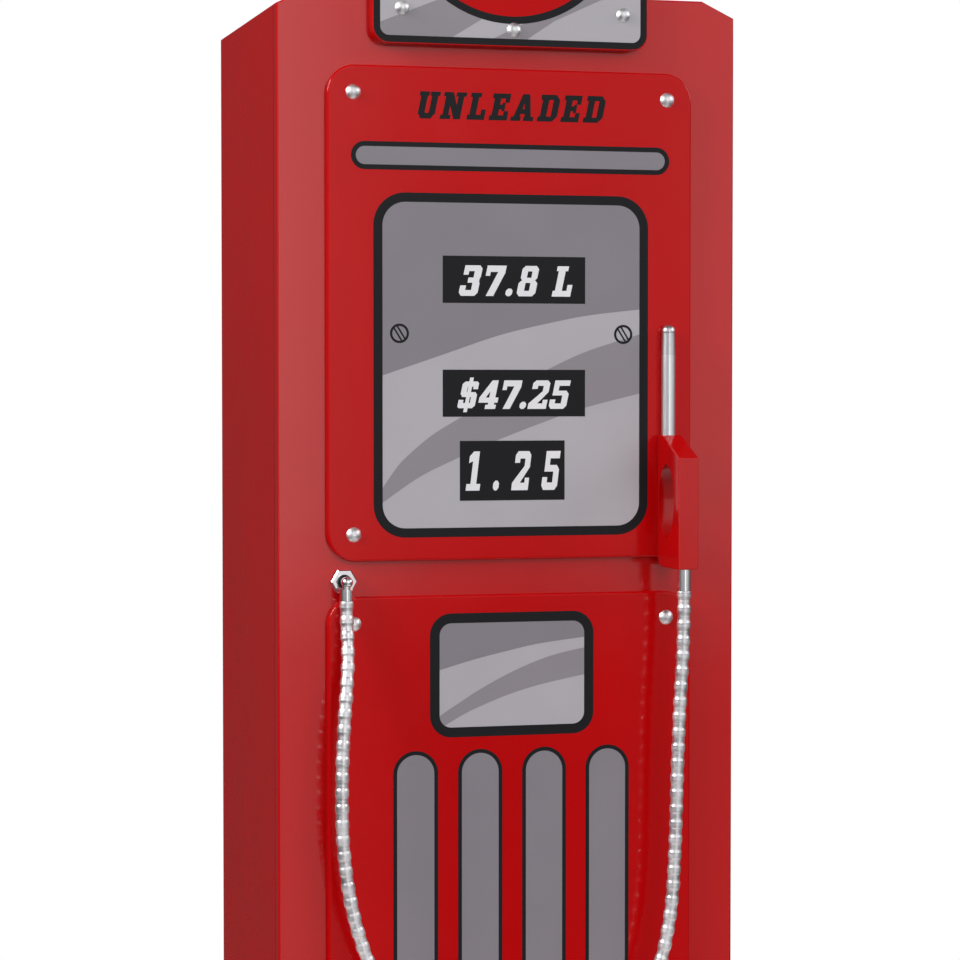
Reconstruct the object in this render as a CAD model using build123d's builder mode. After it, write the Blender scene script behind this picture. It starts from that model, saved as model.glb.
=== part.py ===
"""A child's wardrobe in lacquered MDF, shaped and decorated as an old petrol pump.

Frame: origin on the floor under the middle of the outline, +X to the right of
someone facing the door, +Y to the back, +Z up.  Millimetres.
"""
import math
import os

from build123d import *

# ---------------------------------------------------------------- driving dimensions
# Case
cabinet_width = 540.0
cabinet_depth = 360.0            # door front to the back of the back panel
cabinet_height = 1371.0          # floor to the tops of the sides
board = 18.0                     # MDF of the case and of the door
back_thickness = 3.0
back_inset = 2.0                 # back panel stops short of the outline
glide_height = 5.0
glide_radius = 8.0
glide_pin_radius = 1.25
glide_pin_length = 12.0
glide_inset = 50.0
plinth_height = 55.0
plinth_recess = 20.0
fixed_shelf_z = 680.0            # undersides of the shelves
shelf_zs = (385.0, 950.0, 1160.0)
shelf_setback = 20.0
shelf_side_gap = 1.0
shelf_back_gap = 1.0

# Knock-down joints
cam_radius = 7.5
cam_depth = 12.5
cam_distance = 24.0              # board end to the middle of the cam
cam_slot = 8.0
bolt_thread_radius = 2.5
bolt_thread_length = 10.0
bolt_stem_radius = 3.0
bolt_bore_radius = 4.0
bolt_head_radius = 3.6
bolt_head_length = 3.0
joint_inset = 70.0               # cams from the front and back edges
dowel_pitch = 32.0
dowel_radius = 4.0
dowel_in_side = 10.0
dowel_in_board = 20.0
pin_radius = 2.5
pin_in_side = 8.0
pin_out = 8.0
pin_inset = 60.0
pin_row_pitch = 32.0
nail_radius = 0.8
nail_length = 18.0
nail_head_radius = 2.0
nail_head_height = 0.5
nail_spacing = 200.0

# Wall brackets
bracket_spacing = 300.0
bracket_leg = 40.0
bracket_width = 20.0
bracket_thickness = 2.0
bracket_hole_radius = 2.75
bracket_hole_z = 25.0            # above the top of the case
bracket_screw_radius = 1.75
bracket_screw_length = 14.0
bracket_screw_offsets = (14.0, 31.0)   # forward of the back face

# Door
door_gap = 2.0                   # door back to the case's front edges
door_floor_gap = 20.0
crown_rise = 18.6
crown_inset = 39.0
door_edge_radius = 2.5
buffer_radius = 4.0
buffer_clearance = 0.3
buffer_inset = 9.0

# Concealed hinges, placed from the left side's inner face and the door's back
hinge_zs = (120.0, 640.0, 1250.0)
cup_centre = 4.5                 # cup axis, inside of the side's inner face
cup_radius = 17.5
cup_depth = 12.5
cup_floor = 1.1
cup_cavity_width = 30.0
cup_cavity_height = 17.4
cup_cavity_radius = 2.0
cup_tab_offset = 7.0             # tab middle, inside of the cup axis
cup_tab_width = 12.0
cup_tab_reach = 31.0
cup_tab_thickness = 1.2
cup_screw_z = 25.0
cup_screw_radius = 1.75
cup_screw_length = 12.0
link_door_pivot = -6.5           # from the side's inner face
link_case_pivot = 12.5
pivot_depth = 5.0                # pivots, in front of the door's back
link_eye_radius = 2.6
link_thickness = 2.0
link_bulge = 5.0
link_plate_inner = 6.3
link_plate = 1.9
hinge_pin_radius = 1.5
pin_clearance = 0.05
arm_half_height = 6.0
arm_eye_radius = 3.0
arm_outboard = 1.5
arm_inboard = 3.0                # the arm's strip, each side of the pivot
arm_length = 49.0                # from the pivots to the arm's tail
plate_length = 25.0
plate_base = 2.0
plate_half_height = 21.0
plate_screw_z = 16.0
plate_screw_radius = 3.0
plate_screw_length = 12.0
arm_screw_radius = 2.5

# Applied panels and printed films on the door
panel_width = 429.6
panel_thickness = 10.0
panel_radius = 32.0
panel_edge_radius = 3.0
upper_panel_top = 67.0           # below the top of the case
upper_panel_bottom = 624.0
panel_gap = 39.4
lower_panel_floor = 60.0
film = 0.4
title_bar = (375.6, 31.5, 167.95)      # width, height, middle below the top of the case
display = (324.4, 388.5, 403.15)
display_radius = 37.0
window = (194.0, 141.2, 754.8)
window_radius = 25.0
vent_width = 52.4
vent_xs = (-113.7, -37.65, 37.65, 113.7)
vent_top = 839.6
vent_floor = 111.0

# Sign board
sign_radius = 162.0
sign_centre_z = 118.8            # arch centre above the top of the case
sign_bottom = 43.0
sign_shift = 2.5                 # towards the hinges
sign_thickness = 16.0
sign_corner_radius = 19.0
sign_edge_radius = 1.0
sign_film_inset = 0.5

# Dome head screws
dome_radius = 8.5
dome_height = 5.0
dome_shank_radius = 2.0
dome_shank_length = 22.0
screw_inset_x = 29.8
screw_inset_z = 30.6
sign_screws_xz = ((-130.0, -3.0), (0.0, -24.0), (130.0, -3.0))

# Nozzle handle
handle_x = 186.0
handle_thickness = 24.0
handle_reach = 85.0              # out of the door front
handle_top = 483.0
handle_nose = 507.5
handle_bottom = 634.5
handle_flat = 17.0
handle_heel_radius = 15.0
handle_edge_radius = 1.5
grip_depth = 26.0                # half axes of the finger opening
grip_height = 42.0
grip_out = 42.0                  # middle, out of the door front
grip_below = 558.0
spout_radius = 8.25
spout_neck_radius = 7.7
spout_tip_radius = 3.6
spout_lip = 9.0
spout_top = 356.4
spout_seam = 390.3
spout_off_panel = 9.0
spout_shift = 2.0                # towards the middle of the door
spout_wall = 1.5
spigot_radius = 5.0
spigot_length = 15.0
handle_screw_zs = (505.0, 617.0)
handle_screw_radius = 2.0
handle_screw_bite = 14.0
pan_radius = 4.0
pan_height = 2.6

# Hose and its fittings
outlet_x = -195.5
outlet_below = 646.0
outlet_nipple_shift = 1.0        # towards the hinges
outlet_thread_radius = 6.0
outlet_flats = 26.0
outlet_nut_height = 8.0
outlet_locknut_height = 5.0
outlet_reach = 23.0              # hose axis, out of the door front
outlet_ball_radius = 6.4
nipple_radius = 4.5
ferrule_radius = 7.6
ferrule_length = 13.0
ferrule_drop = 8.0               # ferrule top, below the outlet's axis
handle_ferrule_length = 25.0
handle_ferrule_out = 70.0
hose_radius = 7.0
hose_route = (
    (-196.5, -160.5, 704.0),
    (-196.5, -160.5, 684.0),
    (-196.0, -168.0, 648.0),
    (-200.8, -181.0, 607.0),
    (-206.3, -188.0, 555.0),
    (-208.9, -190.5, 490.0),
    (-207.5, -191.0, 425.0),
    (-196.5, -192.0, 352.0),
    (-172.5, -192.5, 283.0),
    (-124.0, -193.5, 216.0),
    (-60.0, -194.5, 168.0),
    (10.0, -195.5, 150.5),
    (76.0, -197.0, 167.0),
    (127.4, -198.5, 213.0),
    (158.6, -200.2, 272.0),
    (174.0, -202.0, 343.0),
    (177.6, -204.0, 426.0),
    (179.0, -206.0, 511.0),
    (181.6, -207.1, 591.0),
    (186.0, -207.5, 659.0),
    (186.0, -207.5, 711.5),
)

# ---------------------------------------------------------------- derived places
half_width = cabinet_width / 2
inner_half = half_width - board
door_front = handle_reach - (cabinet_depth + handle_reach) / 2
door_back = door_front + board
case_front = door_back + door_gap
back_face = door_front + cabinet_depth
case_back = back_face - back_thickness
panel_front = door_front - panel_thickness
bottom_z = glide_height + plinth_height
top_z = cabinet_height - board
joined_zs = (bottom_z, fixed_shelf_z, top_z)
cam_ys = (case_front + joint_inset, case_back - joint_inset)
dowel_ys = (cam_ys[0] + dowel_pitch, cam_ys[1] - dowel_pitch)
pin_ys = (case_front + pin_inset, case_back - pin_inset)
glide_ys = (case_front + glide_inset, case_back - glide_inset)
plinth_front = case_front + plinth_recess
plinth_dowel_zs = (glide_height + plinth_height / 4, glide_height + plinth_height * 3 / 4)
side_middle = half_width - board / 2
hinge_face = -inner_half
pivot_y = door_back - pivot_depth
door_pivot_x = hinge_face + link_door_pivot
case_pivot_x = hinge_face + link_case_pivot
cup_x = hinge_face + cup_centre
plate_rise = link_case_pivot - arm_outboard
plate_y = pivot_y + arm_length - plate_length / 2
half_panel = panel_width / 2
lower_panel_top = upper_panel_bottom + panel_gap
screw_x = half_panel - screw_inset_x
upper_screws_xz = (
    (-screw_x, cabinet_height - upper_panel_top - screw_inset_z),
    (screw_x, cabinet_height - upper_panel_top - screw_inset_z),
    (-screw_x, cabinet_height - upper_panel_bottom + screw_inset_z),
)
lower_screws_xz = tuple(
    (x, z)
    for x in (-screw_x, screw_x)
    for z in (cabinet_height - lower_panel_top - screw_inset_z, lower_panel_floor + screw_inset_z)
)
sign_screws_at = tuple((x, cabinet_height + z) for x, z in sign_screws_xz)
outlet_z = cabinet_height - outlet_below
outlet_y = door_front - outlet_reach
handle_screws_at = tuple((handle_x, cabinet_height - z) for z in handle_screw_zs)
sides = (-1, 1)


def front_plane(y):
    """An upright plane at y that faces the front: +X right, +Z up, extrudes towards -Y."""
    return Plane.XZ.offset(-y)


# ---------------------------------------------------------------- case sides
def drilled_side(hand, hinged):
    """A side board, hand -1 left or 1 right, with the blind holes of its inner face."""
    with BuildPart() as side:
        with BuildSketch(Plane.YZ.offset(hand * half_width)):
            with Locations(((case_front + case_back) / 2, (glide_height + cabinet_height) / 2)):
                Rectangle(case_back - case_front, cabinet_height - glide_height)
        extrude(amount=-hand * board)
        inner = Plane.YZ.offset(hand * inner_half)
        with BuildSketch(inner):
            with Locations(*[(y, z + board / 2) for y in cam_ys for z in joined_zs]):
                Circle(bolt_thread_radius)
        extrude(amount=hand * bolt_thread_length, mode=Mode.SUBTRACT)
        with BuildSketch(inner):
            with Locations(*[(y, z + board / 2) for y in dowel_ys for z in joined_zs]):
                Circle(dowel_radius)
            with Locations(*[(plinth_front + board / 2, z) for z in plinth_dowel_zs]):
                Circle(dowel_radius)
        extrude(amount=hand * dowel_in_side, mode=Mode.SUBTRACT)
        with BuildSketch(inner):
            with Locations(*[
                (y, z - pin_radius + row * pin_row_pitch)
                for y in pin_ys
                for z in shelf_zs
                for row in (-1, 0, 1)
            ]):
                Circle(pin_radius)
        extrude(amount=hand * pin_in_side, mode=Mode.SUBTRACT)
        with BuildSketch(Plane.XY.offset(glide_height)):
            with Locations(*[(hand * side_middle, y) for y in glide_ys]):
                Circle(glide_pin_radius)
        extrude(amount=glide_pin_length, mode=Mode.SUBTRACT)
        if hinged:
            with BuildSketch(inner):
                with Locations(*[(plate_y, z + s * plate_screw_z) for z in hinge_zs for s in sides]):
                    Circle(plate_screw_radius)
            extrude(amount=hand * (plate_screw_length - plate_base), mode=Mode.SUBTRACT)
    return side


os.makedirs("parts", exist_ok=True)

side_left = drilled_side(-1, hinged=True)
side_left.part.label = "side_left"
export_step(side_left.part, "parts/side_left.step")

side_right = drilled_side(1, hinged=False)
side_right.part.label = "side_right"
export_step(side_right.part, "parts/side_right.step")


# ---------------------------------------------------------------- boards between the sides
def joined_board(bottom):
    """A board held to both sides by cams, bolts and dowels, with its bores."""
    middle = bottom + board / 2
    with BuildPart() as shelf:
        with BuildSketch(Plane.XY.offset(bottom)):
            with Locations((0, (case_front + case_back) / 2)):
                Rectangle(2 * inner_half, case_back - case_front)
        extrude(amount=board)
        for hand in sides:
            with BuildSketch(Plane.YZ.offset(hand * inner_half)):
                with Locations(*[(y, middle) for y in cam_ys]):
                    Circle(bolt_bore_radius)
            extrude(amount=-hand * cam_distance, mode=Mode.SUBTRACT)
            with BuildSketch(Plane.YZ.offset(hand * inner_half)):
                with Locations(*[(y, middle) for y in dowel_ys]):
                    Circle(dowel_radius)
            extrude(amount=-hand * dowel_in_board, mode=Mode.SUBTRACT)
        with BuildSketch(Plane.XY.offset(bottom)):
            with Locations(*[(hand * (inner_half - cam_distance), y) for hand in sides for y in cam_ys]):
                Circle(cam_radius)
        extrude(amount=cam_depth, mode=Mode.SUBTRACT)
    return shelf


bottom_panel = joined_board(bottom_z)
bottom_panel.part.label = "bottom_panel"
export_step(bottom_panel.part, "parts/bottom_panel.step")

fixed_shelf = joined_board(fixed_shelf_z)
fixed_shelf.part.label = "fixed_shelf"
export_step(fixed_shelf.part, "parts/fixed_shelf.step")

bracket_screws_at = [
    (hand * bracket_spacing / 2, back_face - offset)
    for hand in sides
    for offset in bracket_screw_offsets
]
with BuildPart() as top_panel:
    add(joined_board(top_z).part)
    with BuildSketch(Plane.XY.offset(cabinet_height)):
        with Locations(*bracket_screws_at):
            Circle(bracket_screw_radius)
    extrude(amount=-bracket_screw_length, mode=Mode.SUBTRACT)
top_panel.part.label = "top_panel"
export_step(top_panel.part, "parts/top_panel.step")

with BuildPart() as plinth_board:
    with BuildSketch(Plane.XY.offset(glide_height)):
        with Locations((0, plinth_front + board / 2)):
            Rectangle(2 * inner_half, board)
    extrude(amount=plinth_height)
    for hand in sides:
        with BuildSketch(Plane.YZ.offset(hand * inner_half)):
            with Locations(*[(plinth_front + board / 2, z) for z in plinth_dowel_zs]):
                Circle(dowel_radius)
        extrude(amount=-hand * dowel_in_board, mode=Mode.SUBTRACT)
plinth_board.part.label = "plinth_board"
export_step(plinth_board.part, "parts/plinth_board.step")

# Loose shelves on pins
shelf_back = case_back - shelf_back_gap
shelf_front = case_front + shelf_setback
for number, shelf_z in enumerate(shelf_zs, start=1):
    with BuildPart() as loose_shelf:
        with BuildSketch(Plane.XY.offset(shelf_z)):
            with Locations((0, (shelf_front + shelf_back) / 2)):
                Rectangle(2 * (inner_half - shelf_side_gap), shelf_back - shelf_front)
        extrude(amount=board)
    loose_shelf.part.label = f"shelf_{number}"
    export_step(loose_shelf.part, f"parts/shelf_{number}.step")

with BuildPart() as shelf_pins:
    for hand in sides:
        with BuildSketch(Plane.YZ.offset(hand * (inner_half + pin_in_side))):
            with Locations(*[(y, z - pin_radius) for y in pin_ys for z in shelf_zs]):
                Circle(pin_radius)
        extrude(amount=-hand * (pin_in_side + pin_out))
shelf_pins.part.label = "shelf_pins"
export_step(shelf_pins.part, "parts/shelf_pins.step")

# ---------------------------------------------------------------- back panel and its nails
nail_rows = math.ceil((cabinet_height - bottom_z) / nail_spacing)
nail_pitch = (cabinet_height - bottom_z - 2 * board) / nail_rows
nails_at = [
    (hand * side_middle, bottom_z + board + nail_pitch * (row + 0.5))
    for hand in sides
    for row in range(nail_rows)
]
nails_at += [(hand * inner_half / 2, z + board / 2) for hand in sides for z in joined_zs]
with BuildPart() as back_panel:
    with BuildSketch(front_plane(back_face)):
        with Locations((0, (bottom_z + cabinet_height) / 2 - back_inset / 2)):
            Rectangle(cabinet_width - 2 * back_inset, cabinet_height - bottom_z - back_inset)
    extrude(amount=back_thickness)
    with BuildSketch(front_plane(back_face)):
        with Locations(*nails_at):
            Circle(nail_radius)
    extrude(amount=back_thickness, mode=Mode.SUBTRACT)
    with BuildSketch(front_plane(back_face)):
        with Locations(*nails_at):
            Circle(nail_head_radius)
    extrude(amount=nail_head_height, mode=Mode.SUBTRACT)
back_panel.part.label = "back_panel"
export_step(back_panel.part, "parts/back_panel.step")

with BuildPart() as back_nails:
    with BuildSketch(front_plane(back_face)):
        with Locations(*nails_at):
            Circle(nail_radius)
    extrude(amount=nail_length)
    with BuildSketch(front_plane(back_face)):
        with Locations(*nails_at):
            Circle(nail_head_radius)
    extrude(amount=nail_head_height)
back_nails.part.label = "back_nails"
export_step(back_nails.part, "parts/back_nails.step")

# ---------------------------------------------------------------- cams, bolts, dowels, glides
with BuildPart() as cam_locks:
    for z in joined_zs:
        with BuildSketch(Plane.XY.offset(z)):
            with Locations(*[(hand * (inner_half - cam_distance), y) for hand in sides for y in cam_ys]):
                Circle(cam_radius)
        extrude(amount=cam_depth)
    for hand in sides:
        with BuildSketch(Plane.YZ.offset(hand * (inner_half - cam_distance - bolt_head_length))):
            with Locations(*[(y, z + board / 2) for y in cam_ys for z in joined_zs]):
                Rectangle(cam_slot, cam_slot)
        extrude(amount=hand * (cam_radius + bolt_head_length), mode=Mode.SUBTRACT)
cam_locks.part.label = "cam_locks"
export_step(cam_locks.part, "parts/cam_locks.step")

with BuildPart() as cam_bolts:
    for hand in sides:
        with BuildSketch(Plane.YZ.offset(hand * inner_half)):
            with Locations(*[(y, z + board / 2) for y in cam_ys for z in joined_zs]):
                Circle(bolt_thread_radius)
        extrude(amount=hand * bolt_thread_length)
        with BuildSketch(Plane.YZ.offset(hand * inner_half)):
            with Locations(*[(y, z + board / 2) for y in cam_ys for z in joined_zs]):
                Circle(bolt_stem_radius)
        extrude(amount=-hand * cam_distance)
        with BuildSketch(Plane.YZ.offset(hand * (inner_half - cam_distance))):
            with Locations(*[(y, z + board / 2) for y in cam_ys for z in joined_zs]):
                Circle(bolt_head_radius)
        extrude(amount=hand * bolt_head_length)
cam_bolts.part.label = "cam_bolts"
export_step(cam_bolts.part, "parts/cam_bolts.step")

with BuildPart() as wood_dowels:
    for hand in sides:
        with BuildSketch(Plane.YZ.offset(hand * (inner_half + dowel_in_side))):
            with Locations(*[(y, z + board / 2) for y in dowel_ys for z in joined_zs]):
                Circle(dowel_radius)
            with Locations(*[(plinth_front + board / 2, z) for z in plinth_dowel_zs]):
                Circle(dowel_radius)
        extrude(amount=-hand * (dowel_in_side + dowel_in_board))
wood_dowels.part.label = "wood_dowels"
export_step(wood_dowels.part, "parts/wood_dowels.step")

glides_at = [(hand * side_middle, y) for hand in sides for y in glide_ys]
with BuildPart() as glides:
    with BuildSketch(Plane.XY):
        with Locations(*glides_at):
            Circle(glide_radius)
    extrude(amount=glide_height)
    chamfer(glides.edges().group_by(Axis.Z)[0], 1)
    with BuildSketch(Plane.XY.offset(glide_height)):
        with Locations(*glides_at):
            Circle(glide_pin_radius)
    extrude(amount=glide_pin_length)
glides.part.label = "glides"
export_step(glides.part, "parts/glides.step")

# ---------------------------------------------------------------- wall brackets
with BuildPart() as wall_brackets:
    for hand in sides:
        with BuildSketch(Plane.YZ.offset(hand * bracket_spacing / 2 - bracket_width / 2)):
            with BuildLine():
                Polyline(
                    (back_face, cabinet_height),
                    (back_face - bracket_leg, cabinet_height),
                    (back_face - bracket_leg, cabinet_height + bracket_thickness),
                    (back_face - bracket_thickness, cabinet_height + bracket_thickness),
                    (back_face - bracket_thickness, cabinet_height + bracket_leg),
                    (back_face, cabinet_height + bracket_leg),
                    close=True,
                )
            make_face()
        extrude(amount=bracket_width)
    with BuildSketch(front_plane(back_face)):
        with Locations(*[(hand * bracket_spacing / 2, cabinet_height + bracket_hole_z) for hand in sides]):
            Circle(bracket_hole_radius)
    extrude(amount=bracket_thickness, mode=Mode.SUBTRACT)
    with BuildSketch(Plane.XY.offset(cabinet_height)):
        with Locations(*bracket_screws_at):
            Circle(bracket_screw_radius)
    extrude(amount=bracket_thickness, mode=Mode.SUBTRACT)
wall_brackets.part.label = "wall_brackets"
export_step(wall_brackets.part, "parts/wall_brackets.step")

with BuildPart() as bracket_screws:
    with BuildSketch(Plane.XY.offset(cabinet_height - bracket_screw_length)):
        with Locations(*bracket_screws_at):
            Circle(bracket_screw_radius)
    extrude(amount=bracket_screw_length + bracket_thickness)
    with BuildSketch(Plane.XY.offset(cabinet_height + bracket_thickness)):
        with Locations(*bracket_screws_at):
            Circle(pan_radius)
    extrude(amount=pan_height)
    fillet(bracket_screws.edges().group_by(Axis.Z)[-1], pan_height / 2)
bracket_screws.part.label = "bracket_screws"
export_step(bracket_screws.part, "parts/bracket_screws.step")

# ---------------------------------------------------------------- hinges, on the case
with BuildPart() as hinge_plates:
    with BuildSketch(Plane.YZ.offset(hinge_face)):
        with Locations(*[(plate_y, z) for z in hinge_zs]):
            RectangleRounded(plate_length, 2 * plate_half_height, 3)
        with Locations(*[(plate_y, z + s * plate_screw_z) for z in hinge_zs for s in sides]):
            Circle(plate_screw_radius, mode=Mode.SUBTRACT)
    extrude(amount=plate_base)
    with BuildSketch(Plane.YZ.offset(hinge_face + plate_base)):
        with Locations(*[(plate_y, z) for z in hinge_zs]):
            Rectangle(plate_length, 2 * arm_half_height)
    extrude(amount=plate_rise - plate_base)
    with BuildSketch(Plane.YZ.offset(hinge_face + plate_rise)):
        with Locations(*[(plate_y, z) for z in hinge_zs]):
            Circle(arm_screw_radius)
    extrude(amount=plate_base - plate_rise, mode=Mode.SUBTRACT)
hinge_plates.part.label = "hinge_plates"
export_step(hinge_plates.part, "parts/hinge_plates.step")

with BuildPart() as hinge_plate_screws:
    with BuildSketch(Plane.YZ.offset(hinge_face + plate_base)):
        with Locations(*[(plate_y, z + s * plate_screw_z) for z in hinge_zs for s in sides]):
            Circle(plate_screw_radius)
    extrude(amount=-plate_screw_length)
    with BuildSketch(Plane.YZ.offset(hinge_face + plate_base)):
        with Locations(*[(plate_y, z + s * plate_screw_z) for z in hinge_zs for s in sides]):
            Circle(pan_radius)
    extrude(amount=pan_height)
    fillet(hinge_plate_screws.edges().group_by(Axis.X)[-1], pan_height / 2)
hinge_plate_screws.part.label = "hinge_plate_screws"
export_step(hinge_plate_screws.part, "parts/hinge_plate_screws.step")

arm_low_x = hinge_face + plate_rise
arm_high_x = case_pivot_x + arm_inboard
with BuildPart() as hinge_arms:
    for z in hinge_zs:
        with BuildSketch(Plane.XY.offset(z - arm_half_height)):
            with Locations((case_pivot_x, pivot_y)):
                Circle(arm_eye_radius)
            with Locations(((arm_low_x + arm_high_x) / 2, pivot_y + arm_length / 2)):
                Rectangle(arm_high_x - arm_low_x, arm_length)
            with Locations((case_pivot_x, pivot_y)):
                Circle(hinge_pin_radius + pin_clearance, mode=Mode.SUBTRACT)
        extrude(amount=2 * arm_half_height)
    with BuildSketch(Plane.YZ.offset(arm_low_x)):
        with Locations(*[(plate_y, z) for z in hinge_zs]):
            Circle(arm_screw_radius)
    extrude(amount=arm_high_x - arm_low_x, mode=Mode.SUBTRACT)
hinge_arms.part.label = "hinge_arms"
export_step(hinge_arms.part, "parts/hinge_arms.step")

with BuildPart() as hinge_arm_screws:
    with BuildSketch(Plane.YZ.offset(arm_high_x)):
        with Locations(*[(plate_y, z) for z in hinge_zs]):
            Circle(arm_screw_radius)
    extrude(amount=hinge_face + plate_base - arm_high_x)
    with BuildSketch(Plane.YZ.offset(arm_high_x)):
        with Locations(*[(plate_y, z) for z in hinge_zs]):
            Circle(pan_radius)
    extrude(amount=pan_height)
    fillet(hinge_arm_screws.edges().group_by(Axis.X)[-1], pan_height / 2)
hinge_arm_screws.part.label = "hinge_arm_screws"
export_step(hinge_arm_screws.part, "parts/hinge_arm_screws.step")

# ---------------------------------------------------------------- hinge links
link_top = link_plate_inner + link_plate
link_middle_x = (door_pivot_x + case_pivot_x) / 2
with BuildPart() as hinge_links:
    for z in hinge_zs:
        for start, height in ((z - link_top, link_plate), (z + link_plate_inner, link_plate)):
            with BuildSketch(Plane.XY.offset(start)):
                with BuildLine():
                    ThreePointArc(
                        (door_pivot_x, pivot_y - link_thickness / 2),
                        (link_middle_x, pivot_y - link_bulge - link_thickness / 2),
                        (case_pivot_x, pivot_y - link_thickness / 2),
                    )
                    Line(
                        (case_pivot_x, pivot_y - link_thickness / 2),
                        (case_pivot_x, pivot_y + link_thickness / 2),
                    )
                    ThreePointArc(
                        (case_pivot_x, pivot_y + link_thickness / 2),
                        (link_middle_x, pivot_y - link_bulge + link_thickness / 2),
                        (door_pivot_x, pivot_y + link_thickness / 2),
                    )
                    Line(
                        (door_pivot_x, pivot_y + link_thickness / 2),
                        (door_pivot_x, pivot_y - link_thickness / 2),
                    )
                make_face()
                with Locations((door_pivot_x, pivot_y), (case_pivot_x, pivot_y)):
                    Circle(link_eye_radius)
                with Locations((door_pivot_x, pivot_y)):
                    Circle(hinge_pin_radius + pin_clearance, mode=Mode.SUBTRACT)
                with Locations((case_pivot_x, pivot_y)):
                    Circle(hinge_pin_radius, mode=Mode.SUBTRACT)
            extrude(amount=height)
        with BuildSketch(Plane.XY.offset(z - link_plate_inner)):
            with Locations((link_middle_x, pivot_y - link_bulge)):
                Rectangle(link_thickness * 2, link_thickness * 0.8)
        extrude(amount=2 * link_plate_inner)
hinge_links.part.label = "hinge_links"
export_step(hinge_links.part, "parts/hinge_links.step")

with BuildPart() as link_pins:
    for z in hinge_zs:
        with BuildSketch(Plane.XY.offset(z - link_top)):
            with Locations((case_pivot_x, pivot_y)):
                Circle(hinge_pin_radius)
        extrude(amount=2 * link_top)
link_pins.part.label = "link_pins"
export_step(link_pins.part, "parts/link_pins.step")

# ---------------------------------------------------------------- hinges, on the door
cup_pin_half = cup_cavity_height / 2 + 2.3
cup_tab_x = cup_x + cup_tab_offset
cup_screws_at = [(cup_tab_x, z + s * cup_screw_z) for z in hinge_zs for s in sides]
with BuildPart() as hinge_cups:
    with BuildSketch(front_plane(door_back)):
        with Locations(*[(cup_x, z) for z in hinge_zs]):
            Circle(cup_radius)
    extrude(amount=cup_depth)
    with BuildSketch(front_plane(door_back + cup_tab_thickness)):
        with Locations(*[(cup_tab_x, z) for z in hinge_zs]):
            RectangleRounded(cup_tab_width, 2 * cup_tab_reach, 3)
        with Locations(*cup_screws_at):
            Circle(cup_screw_radius, mode=Mode.SUBTRACT)
    extrude(amount=cup_tab_thickness)
    with BuildSketch(front_plane(door_back + cup_tab_thickness)):
        with Locations(*[(cup_x, z) for z in hinge_zs]):
            RectangleRounded(cup_cavity_width, cup_cavity_height, cup_cavity_radius)
    extrude(amount=cup_tab_thickness + cup_depth - cup_floor, mode=Mode.SUBTRACT)
    for z in hinge_zs:
        with BuildSketch(Plane.XY.offset(z - cup_pin_half)):
            with Locations((door_pivot_x, pivot_y)):
                Circle(hinge_pin_radius)
        extrude(amount=2 * cup_pin_half, mode=Mode.SUBTRACT)
hinge_cups.part.label = "hinge_cups"
export_step(hinge_cups.part, "parts/hinge_cups.step")

with BuildPart() as cup_pins:
    for z in hinge_zs:
        with BuildSketch(Plane.XY.offset(z - cup_pin_half)):
            with Locations((door_pivot_x, pivot_y)):
                Circle(hinge_pin_radius)
        extrude(amount=2 * cup_pin_half)
cup_pins.part.label = "cup_pins"
export_step(cup_pins.part, "parts/cup_pins.step")

with BuildPart() as cup_screws:
    with BuildSketch(front_plane(door_back + cup_tab_thickness)):
        with Locations(*cup_screws_at):
            Circle(cup_screw_radius)
    extrude(amount=cup_tab_thickness + cup_screw_length)
    with BuildSketch(front_plane(door_back + cup_tab_thickness)):
        with Locations(*cup_screws_at):
            Circle(2 * cup_screw_radius)
    extrude(amount=-cup_tab_thickness)
cup_screws.part.label = "cup_screws"
export_step(cup_screws.part, "parts/cup_screws.step")

# ---------------------------------------------------------------- door
dome_shank_points = (*upper_screws_xz, *lower_screws_xz)
panel_shank_in_door = dome_shank_length - panel_thickness
sign_shank_in_door = dome_shank_length - sign_thickness
with BuildPart() as door_board:
    with BuildSketch(front_plane(door_back)):
        with BuildLine():
            Polyline(
                (-half_width, door_floor_gap),
                (half_width, door_floor_gap),
                (half_width, cabinet_height),
                (half_width - crown_inset, cabinet_height + crown_rise),
                (crown_inset - half_width, cabinet_height + crown_rise),
                (-half_width, cabinet_height),
                close=True,
            )
        make_face()
    extrude(amount=board)
    fillet(door_board.faces().sort_by(Axis.Y)[0].edges(), door_edge_radius)
    with BuildSketch(front_plane(door_back)):
        with Locations(*[(cup_x, z) for z in hinge_zs]):
            Circle(cup_radius)
    extrude(amount=cup_depth, mode=Mode.SUBTRACT)
    with BuildSketch(front_plane(door_back)):
        with Locations(*cup_screws_at):
            Circle(cup_screw_radius)
    extrude(amount=cup_screw_length, mode=Mode.SUBTRACT)
    with BuildSketch(front_plane(door_back)):
        with Locations(*handle_screws_at):
            Circle(handle_screw_radius)
        with Locations((outlet_x, outlet_z)):
            Circle(outlet_thread_radius)
    extrude(amount=board, mode=Mode.SUBTRACT)
    with BuildSketch(front_plane(door_front + panel_shank_in_door)):
        with Locations(*dome_shank_points):
            Circle(dome_shank_radius)
    extrude(amount=panel_shank_in_door, mode=Mode.SUBTRACT)
    with BuildSketch(front_plane(door_front + sign_shank_in_door)):
        with Locations(*sign_screws_at):
            Circle(dome_shank_radius)
    extrude(amount=sign_shank_in_door, mode=Mode.SUBTRACT)
door_board.part.label = "door_board"
export_step(door_board.part, "parts/door_board.step")

buffer_x = half_width - buffer_inset
with BuildPart() as door_buffers:
    with BuildSketch(front_plane(case_front - buffer_clearance)):
        with Locations((buffer_x, bottom_z + board / 2), (buffer_x, top_z + board / 2)):
            Circle(buffer_radius)
    extrude(amount=door_gap - buffer_clearance)
door_buffers.part.label = "door_buffers"
export_step(door_buffers.part, "parts/door_buffers.step")


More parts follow.
